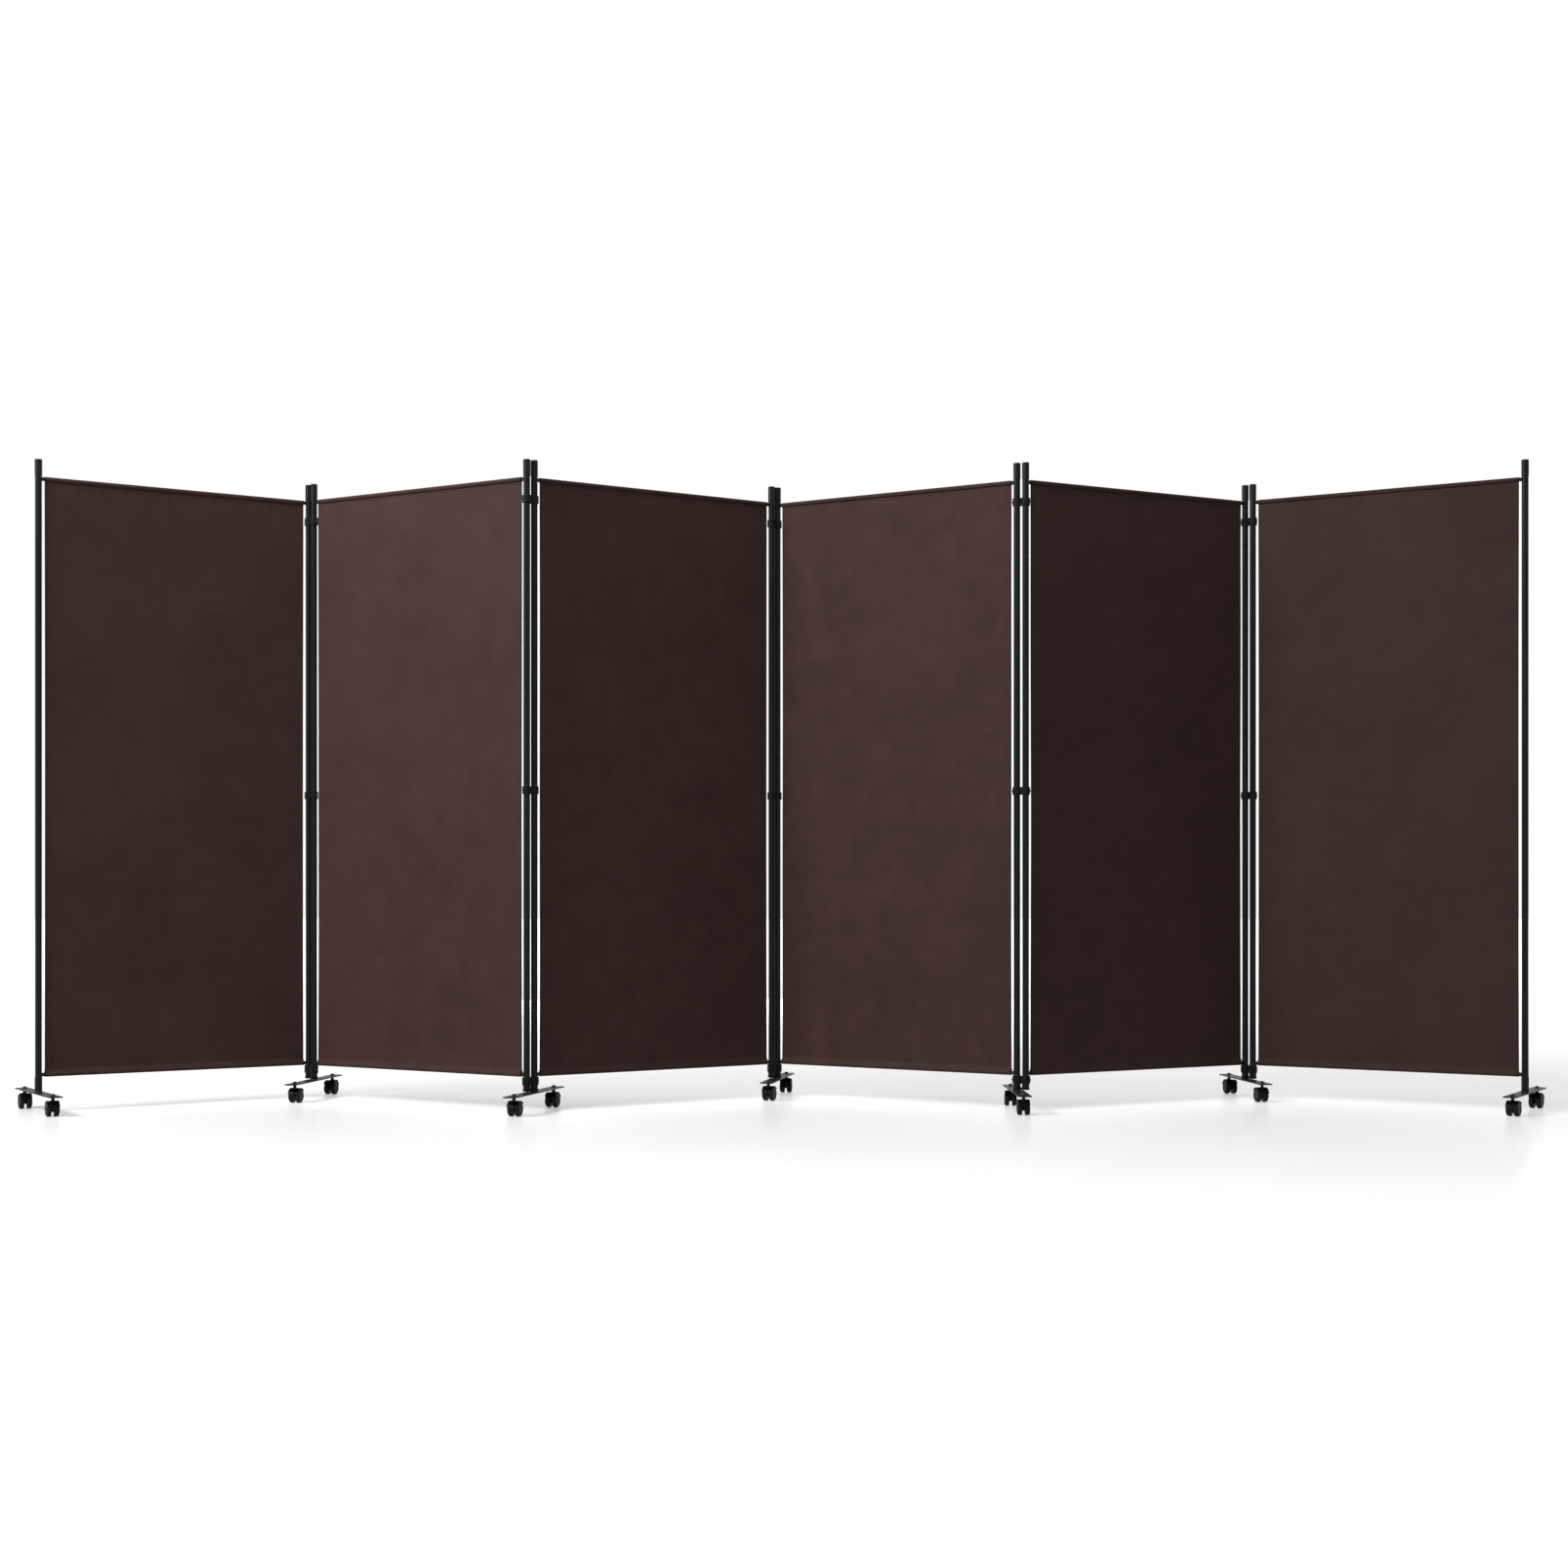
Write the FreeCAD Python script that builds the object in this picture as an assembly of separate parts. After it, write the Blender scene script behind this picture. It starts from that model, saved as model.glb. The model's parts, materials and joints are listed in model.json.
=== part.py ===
"""Folding privacy screen: six fabric panels on tubular frames, clipped post to post and
carried on seven plate feet with twin-wheel casters.

Millimetres, Z up, the floor at zero. X runs along the screen from its left end, Y to the
back. The origin is under the middle of the whole screen as it stands in its zigzag.
"""
import FreeCAD, Part
import math
import os

# Whole screen
screen_height = 1854.0
panel_pitch = 795.0
panel_turns = (31.6, -29.8, 32.3, -30.0, 27.7, -29.6)

# Posts, their top caps and the ferrules of the posts that have no foot
post_diameter = 19.0
post_wall = 1.2
cap_diameter = 20.6
cap_height = 46.0
cap_roof = 2.0
cap_rounding = 1.2
ferrule_diameter = 21.0
ferrule_floor_gap = 2.0
ferrule_end = 1.5

# Rails
rail_diameter = 11.0
rail_wall = 1.0

# Fabric
fabric_thickness = 1.0
fabric_top_drop = 48.0
fabric_bottom_height = 100.0
fabric_side_gap = 17.0
hem_width = 14.0
hem_thickness = 2.4
top_pocket_height = 13.0
bottom_pocket_height = 21.0
pocket_ease = 0.3

# Clips that join neighbouring posts
post_spacing = 25.5
link_turns = (-41.0, 41.0, 45.0, -20.0, -40.0)
clip_height = 22.0
clip_wall = 3.2
clip_web_width = 13.0
clip_rounding = 0.8
top_clip_drop = 112.0
bottom_clip_gap = 1.0
bottom_clip_wall = 2.6
clip_screw_diameter = 5.0
clip_screw_reach = 1.4
tie_height = 5.0
tie_wall = 1.0
tie_web_width = 8.0
tie_gap = 3.5

# Running clearance of what turns on a round post, pin or stem, and of what passes close by
running_gap = 0.05
passing_gap = 0.4

# Feet
plate_length = 350.0
plate_width = 38.0
plate_thickness = 3.0
plate_corner = 5.0
plate_edge_rounding = 0.8
plate_underside = 54.5
socket_top_gap = 1.3
collar_diameter = 24.0
collar_height = 2.5
caster_end_inset = 37.5
foot_turns = (124.9, 78.4, 72.5, 78.8, 92.0, 99.3, 57.7)

# Caster stems and their nuts
stem_diameter = 6.0
stem_reach = 20.0
stem_top_reach = 1.5
nut_across_flats = 10.0
nut_height = 4.5
stem_shoulder_diameter = 9.0

# Twin-wheel casters
wheel_diameter = 40.0
caster_width = 36.0
web_thickness = 7.6
wheel_outer_rounding = 5.5
wheel_inner_rounding = 3.0
dish_diameter = 24.0
dish_depth = 1.6
axle_diameter = 6.0
axle_end_gap = 2.5
caster_trail = 9.0
hood_gap = 1.3
hood_wall = 2.7
hood_inset = 1.0
hood_front_degrees = 20.0
hood_sweep_degrees = 125.0
web_nose = 6.0
boss_diameter = 11.0
boss_height = 2.5
front_caster_turns = (-6.0, 2.0, 3.0, -7.0, -2.0, 0.0, -3.0)
rear_caster_turns = (-6.0, 2.0, 3.0, 4.0, -6.0, 0.0, -3.0)

# Brake pedals, on the rear caster of each foot
pedal_width = 16.0
pedal_length = 21.0
pedal_thickness = 3.0
pedal_rounding = 1.2
pedal_heel = 2.2
pedal_rise = 4.4
pedal_pin_diameter = 3.0
pedal_pin_forward = 9.0
ear_thickness = 2.4
ear_width = 7.0

PANELS = 6
FEET = 7
UP = FreeCAD.Vector(0, 0, 1)
ACROSS = FreeCAD.Vector(0, 1, 0)
ALONG = FreeCAD.Vector(1, 0, 0)

# Heights and radii that follow
plate_top = plate_underside + plate_thickness
caster_spread = plate_length - 2 * caster_end_inset
post_radius = post_diameter / 2
ferrule_radius = ferrule_diameter / 2
fabric_top = screen_height - fabric_top_drop
pocket_radius = rail_diameter / 2 + pocket_ease + fabric_thickness
top_rail_height = fabric_top - pocket_radius
bottom_rail_height = fabric_bottom_height + pocket_radius
socket_top = bottom_rail_height - rail_diameter / 2 - socket_top_gap
bottom_clip_height = socket_top - bottom_clip_gap - clip_height / 2
top_clip_height = screen_height - top_clip_drop
middle_clip_height = (top_clip_height + bottom_clip_height) / 2
tie_middle = plate_top + tie_gap + tie_height / 2
wheel_radius = wheel_diameter / 2
hood_inner_radius = wheel_radius + hood_gap
hood_outer_radius = hood_inner_radius + hood_wall
boss_top = wheel_radius + hood_outer_radius + boss_height
pedal_pin_height = wheel_radius + math.sqrt(
    hood_outer_radius**2 - (caster_trail + pedal_pin_forward) ** 2
) + pedal_rise


def tube(outer, inner, low, high):
    """An upright tube round the Z axis between two heights."""
    body = Part.makeCylinder(outer, high - low, UP * low, UP)
    return body.cut(Part.makeCylinder(inner, high - low, UP * low, UP))


def placed(shape, spot, degrees):
    """A copy of a shape turned about the upright through its own origin, then moved."""
    copy = shape.copy()
    copy.Placement = FreeCAD.Placement(spot, FreeCAD.Rotation(UP, degrees)).multiply(
        copy.Placement
    )
    return copy


def heading(degrees):
    """The level unit vector at an angle from X towards Y."""
    return FreeCAD.Vector(math.cos(math.radians(degrees)), math.sin(math.radians(degrees)), 0)


def block(low, high):
    """A box between two corners."""
    size = high - low
    return Part.makeBox(size.x, size.y, size.z, low)


# Where the posts stand, from the left end of the screen


def post_places():
    """The left and right post of each panel, before the screen is centred."""
    left, right = [], []
    spot = FreeCAD.Vector()
    for number in range(PANELS):
        left.append(spot)
        far = spot + heading(panel_turns[number]) * panel_pitch
        right.append(far)
        if number < PANELS - 1:
            spot = far + heading(link_turns[number]) * post_spacing
    return left, right


# Panel frame: two posts with caps, two rails, and a ferrule under each post that has no foot


def post(has_foot):
    """One post with its cap, and its ferrule where no foot's socket holds it."""
    low = plate_top + passing_gap if has_foot else plate_top + ferrule_floor_gap + ferrule_end
    cap_low = screen_height - cap_height
    tube_high = screen_height - cap_roof
    pieces = [tube(post_radius, post_radius - post_wall, low, tube_high)]
    cap = Part.makeCylinder(cap_diameter / 2, cap_height, UP * cap_low, UP)
    rims = [edge for edge in cap.Edges if edge.Closed and edge.BoundBox.ZMin > tube_high]
    cap = cap.makeFillet(cap_rounding, rims)
    cap = cap.cut(Part.makeCylinder(post_radius, tube_high - cap_low, UP * cap_low, UP))
    pieces.append(cap)
    if not has_foot:
        ferrule_low = low - ferrule_end
        ferrule = Part.makeCylinder(ferrule_radius, socket_top - ferrule_low, UP * ferrule_low, UP)
        pieces.append(ferrule.cut(Part.makeCylinder(post_radius, socket_top - low, UP * low, UP)))
    return pieces


def rail(height):
    """A rail from post to post, its ends cut to the round of the posts."""
    start = UP * height
    body = Part.makeCylinder(rail_diameter / 2, panel_pitch, start, ALONG)
    body = body.cut(Part.makeCylinder(rail_diameter / 2 - rail_wall, panel_pitch, start, ALONG))
    for spot in (FreeCAD.Vector(), ALONG * panel_pitch):
        low = spot + UP * (height - rail_diameter)
        body = body.cut(Part.makeCylinder(post_radius, 2 * rail_diameter, low, UP))
    return body


def panel_frame(left_foot, right_foot):
    """A panel's whole frame, with its left post on the Z axis."""
    pieces = post(left_foot)
    for piece in post(right_foot):
        piece.translate(ALONG * panel_pitch)
        pieces.append(piece)
    pieces.append(rail(top_rail_height))
    pieces.append(rail(bottom_rail_height))
    return Part.makeCompound(pieces)


# Fabric: a stretched sheet with a pocket round each rail and a folded hem down each side


def pocket(rail_height, seam_height):
    """The drop-shaped pocket that a rail runs through, narrowing to its seam."""
    lean = math.acos((pocket_radius - fabric_thickness) / abs(seam_height - rail_height))
    side = 1 if seam_height > rail_height else -1
    touch_y = pocket_radius * math.sin(lean)
    touch_z = rail_height + side * pocket_radius * math.cos(lean)
    near, far = fabric_side_gap, panel_pitch - fabric_side_gap
    start = FreeCAD.Vector(near, touch_y, touch_z)
    end = FreeCAD.Vector(near, -touch_y, touch_z)
    bottom = FreeCAD.Vector(near, 0, rail_height - side * pocket_radius)
    seam_end = FreeCAD.Vector(near, -fabric_thickness, seam_height)
    seam_start = FreeCAD.Vector(near, fabric_thickness, seam_height)
    outline = Part.Wire(
        [
            Part.Arc(start, bottom, end).toShape(),
            Part.makeLine(end, seam_end),
            Part.makeLine(seam_end, seam_start),
            Part.makeLine(seam_start, start),
        ]
    )
    return Part.Face(outline).extrude(ALONG * (far - near))


def fabric():
    """The fabric of one panel, in the panel frame's own place."""
    near, far = fabric_side_gap, panel_pitch - fabric_side_gap
    half = fabric_thickness / 2
    sheet = block(
        FreeCAD.Vector(near, -half, bottom_rail_height),
        FreeCAD.Vector(far, half, top_rail_height),
    )
    top_seam = fabric_top - top_pocket_height
    bottom_seam = fabric_bottom_height + bottom_pocket_height
    for low in (near, far - hem_width):
        sheet = sheet.fuse(
            block(
                FreeCAD.Vector(low, -hem_thickness / 2, bottom_seam),
                FreeCAD.Vector(low + hem_width, hem_thickness / 2, top_seam),
            )
        )
    sheet = sheet.fuse(pocket(top_rail_height, top_seam))
    sheet = sheet.fuse(pocket(bottom_rail_height, bottom_seam))
    hole = rail_diameter / 2 + pocket_ease
    for height in (top_rail_height, bottom_rail_height):
        sheet = sheet.cut(Part.makeCylinder(hole, panel_pitch, UP * height, ALONG))
    return sheet.removeSplitter()


# Clips: two rings in one, with the first post on the Z axis and the second along X


def twin_ring(bore, wall, web_width, low, high):
    """Two rings joined by a web between two heights."""
    outer = bore + wall
    far = ALONG * post_spacing
    body = Part.makeCylinder(outer, high - low, UP * low, UP)
    body = body.fuse(Part.makeCylinder(outer, high - low, far + UP * low, UP))
    web = block(
        FreeCAD.Vector(0, -web_width / 2, low),
        FreeCAD.Vector(post_spacing, web_width / 2, high),
    )
    body = body.fuse(web).removeSplitter()
    for spot in (FreeCAD.Vector(), far):
        body = body.cut(Part.makeCylinder(bore, high - low, spot + UP * low, UP))
    return body


def clip(post_size, wall, height):
    """A moulded clip with a small screw head in the end of each ring."""
    bore = post_size / 2 + running_gap
    low, high = height - clip_height / 2, height + clip_height / 2
    body = twin_ring(bore, wall, clip_web_width, low, high)
    rims = [
        edge
        for edge in body.Edges
        if edge.BoundBox.ZLength < running_gap
        and max(abs(edge.BoundBox.XMin), abs(edge.BoundBox.XMax - post_spacing)) > bore + wall / 2
    ]
    body = body.makeFillet(clip_rounding, rims)
    depth = wall / 2
    for side, spot in ((-1, FreeCAD.Vector()), (1, ALONG * post_spacing)):
        start = spot + UP * height + ALONG * (side * (bore + wall - depth))
        reach = depth + clip_screw_reach
        head = Part.makeCylinder(clip_screw_diameter / 2, reach, start, ALONG * side)
        body = body.fuse(head)
    return body


def clips():
    """The three clips of one joint and the thin tie round the two lower tubes."""
    tie_bore = ferrule_radius + running_gap
    tie_low = tie_middle - tie_height / 2
    return Part.makeCompound(
        [
            clip(post_diameter, clip_wall, top_clip_height),
            clip(post_diameter, clip_wall, middle_clip_height),
            clip(ferrule_diameter, bottom_clip_wall, bottom_clip_height),
            twin_ring(tie_bore, tie_wall, tie_web_width, tie_low, tie_low + tie_height),
        ]
    )


# Foot: plate, socket, weld collar, and the two caster stems with their nuts


def foot():
    """One foot with its socket on the Z axis and its plate along X, the rear end at +X."""
    half_length, half_width = plate_length / 2, plate_width / 2
    corners = []
    for sign_x, sign_y in ((1, 1), (-1, 1), (-1, -1), (1, -1)):
        on_end = FreeCAD.Vector(sign_x * half_length, sign_y * (half_width - plate_corner), 0)
        on_side = FreeCAD.Vector(sign_x * (half_length - plate_corner), sign_y * half_width, 0)
        corners += [on_end, on_side] if sign_x == sign_y else [on_side, on_end]
    outline = Part.makePolygon(corners + corners[:1])
    plate = Part.Face(outline).extrude(UP * plate_thickness)
    plate.translate(UP * plate_underside)
    upper = [edge for edge in plate.Edges if edge.BoundBox.ZMin > plate_top - plate_thickness / 2]
    plate = plate.makeFillet(plate_edge_rounding, upper)
    socket = Part.makeCylinder(ferrule_radius, socket_top - plate_top, UP * plate_top, UP)
    collar = Part.makeCone(collar_diameter / 2, ferrule_radius, collar_height, UP * plate_top, UP)
    socket = socket.fuse(collar).removeSplitter()
    bore = post_radius + running_gap
    socket = socket.cut(Part.makeCylinder(bore, socket_top - plate_top, UP * plate_top, UP))
    pieces = [socket]
    for side in (-1, 1):
        spot = ALONG * (side * caster_spread / 2)
        hole = Part.makeCylinder(stem_diameter / 2, plate_thickness, spot + UP * plate_underside, UP)
        plate = plate.cut(hole)
        pieces += stem(spot)
    return Part.makeCompound([plate] + pieces)


def stem(spot):
    """A caster's stem with its shoulder under the plate, and the nut on top of it."""
    radius = stem_diameter / 2
    nut_high = plate_top + nut_height
    low = plate_underside - stem_reach
    shaft = Part.makeCylinder(radius, nut_high + stem_top_reach - low, spot + UP * low, UP)
    shoulder_low = boss_top + passing_gap
    shoulder = Part.makeCylinder(
        stem_shoulder_diameter / 2, plate_underside - shoulder_low, spot + UP * shoulder_low, UP
    )
    nut_radius = nut_across_flats / math.sqrt(3)
    ring = [spot + UP * plate_top + heading(60 * side) * nut_radius for side in range(7)]
    nut = Part.Face(Part.makePolygon(ring)).extrude(UP * nut_height)
    nut = nut.cut(Part.makeCylinder(radius, nut_height, spot + UP * plate_top, UP))
    return [shaft.fuse(shoulder).removeSplitter(), nut]


# Caster: stem on the Z axis, rolling along X, its wheels trailing at -X

AXLE = FreeCAD.Vector(-caster_trail, 0, wheel_radius)


def caster_housing(with_brake):
    """The swivelling housing: a web between the wheels, the stem's boss, and a hood over them
    that starts above their front and sweeps back over the top."""
    half_web = web_thickness / 2
    half_hood = caster_width / 2 - hood_inset
    low = UP * -half_hood
    hood = Part.makeCylinder(hood_outer_radius, 2 * half_hood, low, UP, hood_sweep_degrees)
    hood = hood.cut(Part.makeCylinder(hood_inner_radius, 2 * half_hood, low, UP))
    hood.rotate(FreeCAD.Vector(), UP, hood_front_degrees)
    hood.rotate(FreeCAD.Vector(), ALONG, 90)
    hood.translate(AXLE)
    start = AXLE - ACROSS * half_web
    web = Part.makeCylinder(hood_inner_radius + hood_wall / 2, web_thickness, start, ACROSS)
    low_cut = AXLE.z - web_nose
    web = web.common(
        block(
            FreeCAD.Vector(AXLE.x - web_nose, -half_web, low_cut),
            FreeCAD.Vector(AXLE.x + hood_outer_radius, half_web, AXLE.z + hood_outer_radius),
        )
    )
    boss_low = AXLE.z + hood_inner_radius
    boss = Part.makeCylinder(boss_diameter / 2, boss_top - boss_low, UP * boss_low, UP)
    body = hood.fuse([web, boss]).removeSplitter()
    if with_brake:
        for ear in brake_ears():
            body = body.fuse(ear)
    body = body.cut(
        Part.makeCylinder(axle_diameter / 2 + running_gap, web_thickness, start, ACROSS)
    )
    stem_low = plate_underside - stem_reach - passing_gap
    bore = stem_diameter / 2 + running_gap
    body = body.cut(Part.makeCylinder(bore, boss_top - stem_low, UP * stem_low, UP))
    return body.removeSplitter()


PEDAL_PIN = FreeCAD.Vector(pedal_pin_forward, 0, pedal_pin_height)


def brake_ears():
    """The two ears on the hood that hold the pedal's pin."""
    ears = []
    for side in (-1, 1):
        inner = side * (pedal_width / 2 + passing_gap)
        outer = inner + side * ear_thickness
        low_y, high_y = min(inner, outer), max(inner, outer)
        start = FreeCAD.Vector(PEDAL_PIN.x, low_y, PEDAL_PIN.z)
        ear = Part.makeCylinder(ear_width / 2, ear_thickness, start, ACROSS)
        ear = ear.fuse(
            block(
                FreeCAD.Vector(PEDAL_PIN.x - ear_width / 2, low_y, PEDAL_PIN.z - ear_width),
                FreeCAD.Vector(PEDAL_PIN.x + ear_width / 2, high_y, PEDAL_PIN.z),
            )
        )
        hollow_start = AXLE - ACROSS * (caster_width / 2)
        ear = ear.cut(Part.makeCylinder(hood_inner_radius, caster_width, hollow_start, ACROSS))
        bore = pedal_pin_diameter / 2 + running_gap
        ears.append(ear.cut(Part.makeCylinder(bore, ear_thickness, start, ACROSS)).removeSplitter())
    return ears


def wheel_pair():
    """Two dished wheels with rounded shoulders on one axle."""
    pieces = []
    inner_y = web_thickness / 2 + passing_gap
    outer_y = caster_width / 2
    axle_half = outer_y - dish_depth - axle_end_gap
    axle = Part.makeCylinder(axle_diameter / 2, 2 * axle_half, AXLE - ACROSS * axle_half, ACROSS)
    for side in (-1, 1):
        wheel = Part.makeCylinder(
            wheel_radius, outer_y - inner_y, AXLE + ACROSS * (side * inner_y), ACROSS * side
        )
        outer_rim = [edge for edge in wheel.Edges if rim_at(edge, side * outer_y)]
        wheel = wheel.makeFillet(wheel_outer_rounding, outer_rim)
        inner_rim = [edge for edge in wheel.Edges if rim_at(edge, side * inner_y)]
        wheel = wheel.makeFillet(wheel_inner_rounding, inner_rim)
        dish = Part.makeCone(
            dish_diameter / 2,
            dish_diameter / 2 - dish_depth,
            dish_depth,
            AXLE + ACROSS * (side * outer_y),
            ACROSS * -side,
        )
        pieces.append(wheel.cut([dish, axle]))
    pieces.append(axle)
    return Part.makeCompound(pieces)


def rim_at(edge, place_y):
    """Whether an edge is a closed rim in the level plane at this place across the caster."""
    box = edge.BoundBox
    return edge.Closed and box.YLength < running_gap and abs(box.Center.y - place_y) < running_gap


def brake_pedal():
    """The brake pedal on its pin, a small flat lever that points forwards."""
    half = pedal_width / 2
    lever = block(
        PEDAL_PIN + FreeCAD.Vector(-pedal_heel, -half, -pedal_thickness / 2),
        PEDAL_PIN + FreeCAD.Vector(pedal_length - pedal_heel, half, pedal_thickness / 2),
    )
    ends = [edge for edge in lever.Edges if edge.BoundBox.XMin > PEDAL_PIN.x + pedal_heel]
    lever = lever.makeFillet(pedal_rounding, ends)
    pin_half = half + passing_gap + ear_thickness
    start = PEDAL_PIN - ACROSS * pin_half
    pin = Part.makeCylinder(pedal_pin_diameter / 2, 2 * pin_half, start, ACROSS)
    return lever.fuse(pin).removeSplitter()


# The whole screen, piece by piece


def foot_owners(left, right):
    """The post that each foot carries: the free ends, then one of the two posts of each joint."""
    return [left[0], left[1], left[2], left[3], right[3], right[4], right[5]]


def build():
    """Every named piece, in place, with the middle of the screen over the origin."""
    left, right = post_places()
    spots = foot_owners(left, right)
    pieces = {}
    for number in range(PANELS):
        ends = (left[number], right[number])
        carried = [any(end.isEqual(spot, running_gap) for spot in spots) for end in ends]
        name = f"panel_{number + 1}"
        turn = panel_turns[number]
        pieces[name + "_frame"] = placed(panel_frame(*carried), left[number], turn)
        pieces[name + "_fabric"] = placed(fabric(), left[number], turn)
    for number in range(PANELS - 1):
        foot_spot = spots[number + 1]
        other = left[number + 1] if foot_spot.isEqual(right[number], running_gap) else right[number]
        way = other - foot_spot
        turn = math.degrees(math.atan2(way.y, way.x))
        pieces[f"clips_{number + 1}_to_{number + 2}"] = placed(clips(), foot_spot, turn)
    for number in range(FEET):
        turn = foot_turns[number]
        pieces[f"foot_{number + 1}"] = placed(foot(), spots[number], turn)
        front = spots[number] - heading(turn) * (caster_spread / 2)
        rear = spots[number] + heading(turn) * (caster_spread / 2)
        front_turn = turn + 180 + front_caster_turns[number]
        rear_turn = turn + rear_caster_turns[number]
        name = f"caster_{number + 1}"
        pieces[name + "_front_housing"] = placed(caster_housing(False), front, front_turn)
        pieces[name + "_front_wheels"] = placed(wheel_pair(), front, front_turn)
        pieces[name + "_rear_housing"] = placed(caster_housing(True), rear, rear_turn)
        pieces[name + "_rear_wheels"] = placed(wheel_pair(), rear, rear_turn)
        pieces[name + "_rear_brake"] = placed(brake_pedal(), rear, rear_turn)
    middle = Part.makeCompound(list(pieces.values())).BoundBox.Center
    for piece in pieces.values():
        piece.translate(FreeCAD.Vector(-middle.x, -middle.y, 0))
    return pieces


def main():
    """Write one file for each named piece."""
    os.makedirs("parts", exist_ok=True)
    for name, shape in build().items():
        shape.exportStep(f"parts/{name}.step")


main()
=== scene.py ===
"""Folding privacy screen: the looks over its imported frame, in metres.

Six stretched fabric panels with sewn pockets and hems, their stitches, the finishes of posts, rails,
clips, feet and casters, the small fittings on them, and the studio that they stand in.
"""
import json
import math

import bmesh
import bpy
import numpy as np
from bpy.props import FloatProperty, FloatVectorProperty, IntProperty, PointerProperty
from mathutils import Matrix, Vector

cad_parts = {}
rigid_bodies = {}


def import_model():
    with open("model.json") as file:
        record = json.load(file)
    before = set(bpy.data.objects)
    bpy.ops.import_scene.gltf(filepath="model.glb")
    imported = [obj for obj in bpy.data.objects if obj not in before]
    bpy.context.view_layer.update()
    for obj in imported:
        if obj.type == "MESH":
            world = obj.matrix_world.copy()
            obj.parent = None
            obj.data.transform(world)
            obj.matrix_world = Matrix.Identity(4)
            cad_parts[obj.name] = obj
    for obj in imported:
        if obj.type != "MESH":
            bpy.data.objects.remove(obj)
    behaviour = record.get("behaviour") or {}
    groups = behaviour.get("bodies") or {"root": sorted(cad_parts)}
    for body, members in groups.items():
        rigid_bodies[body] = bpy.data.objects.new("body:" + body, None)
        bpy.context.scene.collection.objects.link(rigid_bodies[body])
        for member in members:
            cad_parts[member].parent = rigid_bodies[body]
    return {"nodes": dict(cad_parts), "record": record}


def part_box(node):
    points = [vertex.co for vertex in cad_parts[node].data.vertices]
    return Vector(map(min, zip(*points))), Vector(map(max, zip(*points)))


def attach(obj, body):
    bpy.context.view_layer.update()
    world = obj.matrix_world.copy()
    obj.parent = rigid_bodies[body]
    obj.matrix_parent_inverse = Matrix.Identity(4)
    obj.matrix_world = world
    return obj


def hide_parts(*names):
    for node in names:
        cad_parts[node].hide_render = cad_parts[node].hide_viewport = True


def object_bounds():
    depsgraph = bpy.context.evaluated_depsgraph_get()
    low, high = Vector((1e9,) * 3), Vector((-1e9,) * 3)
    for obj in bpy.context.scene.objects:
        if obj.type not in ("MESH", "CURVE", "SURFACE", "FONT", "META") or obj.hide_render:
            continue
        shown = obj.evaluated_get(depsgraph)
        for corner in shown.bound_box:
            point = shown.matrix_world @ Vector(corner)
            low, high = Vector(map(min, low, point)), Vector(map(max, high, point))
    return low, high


bl_info = {
    "name": "Folding privacy screen",
    "version": (1, 0, 0),
    "blender": (4, 5, 0),
    "location": "3D View > Sidebar > Screen",
    "description": "Fabric, stitches, finishes, fittings and studio for a folding privacy screen",
    "category": "Object",
}

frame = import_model()
START_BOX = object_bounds()
NODES = frame["nodes"]
JOINTS = {joint["name"]: joint for joint in frame["record"]["behaviour"]["joints"]}
PANELS = 6
FEET = 7
UP = Vector((0, 0, 1))

# A frame's moulded parts: the caps' height below its top, the ferrules' top, and the blur at their edges
CAP_HEIGHT = 0.046
FERRULE_TOP = 0.1
EDGE_BLUR = 0.0001


# Settings


def amount(name, description, default, unit="NONE"):
    """A setting that is a plain number, or one with a unit."""
    return FloatProperty(name=name, description=description, default=default, unit=unit)


def metres(name, description, default):
    """A setting that is a length."""
    return amount(name, description, default, unit="LENGTH")


def tint(name, description, default):
    """A setting that is a colour."""
    return FloatVectorProperty(name=name, description=description, default=default, subtype="COLOR")


def spot(name, description, default):
    """A setting that is a place."""
    return FloatVectorProperty(
        name=name, description=description, default=default, subtype="TRANSLATION"
    )


class ClothSettings(bpy.types.PropertyGroup):
    """Sizes and colours of the fabric panels."""

    side_gap: metres("Side gap", "From a post's middle to the fabric's side", 0.017)
    thickness: metres("Thickness", "Thickness of one layer of cloth", 0.0008)
    hem_width: metres("Hem width", "Width of the turned hem down each side", 0.014)
    hem_swell: metres("Hem swell", "How much the turned layers add behind the cloth", 0.0013)
    pocket_radius: metres("Pocket radius", "Middle of the cloth where it goes round a rail", 0.0063)
    top_pocket: metres("Top pocket", "Height of the top pocket down to its seam", 0.013)
    bottom_pocket: metres("Bottom pocket", "Height of the bottom pocket up to its seam", 0.021)
    tuck: metres("Tuck", "Cloth turned under past each pocket's seam", 0.007)
    billow: metres("Billow", "Slow waves in the stretched cloth", 0.0009)
    pucker: metres("Pucker", "Short waves where the seams draw the cloth in", 0.00042)
    spacing: metres("Mesh spacing", "Distance between the rows of the cloth's mesh", 0.0085)
    weave_pitch: metres("Weave pitch", "Distance between two threads of the weave", 0.0006)
    colour: tint("Colour", "Dark brown of the cloth", (0.043, 0.0229, 0.0194))
    mottle: amount("Mottle", "How much lighter and darker the cloth's soft patches are", 0.19)
    gloss: amount("Gloss", "Specular level of the cloth", 0.065)
    thread_colour: tint("Thread colour", "Brown of the sewing thread", (0.062, 0.036, 0.031))
    seed: IntProperty(name="Seed", description="Fixes the waves of the cloth", default=11)


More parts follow.
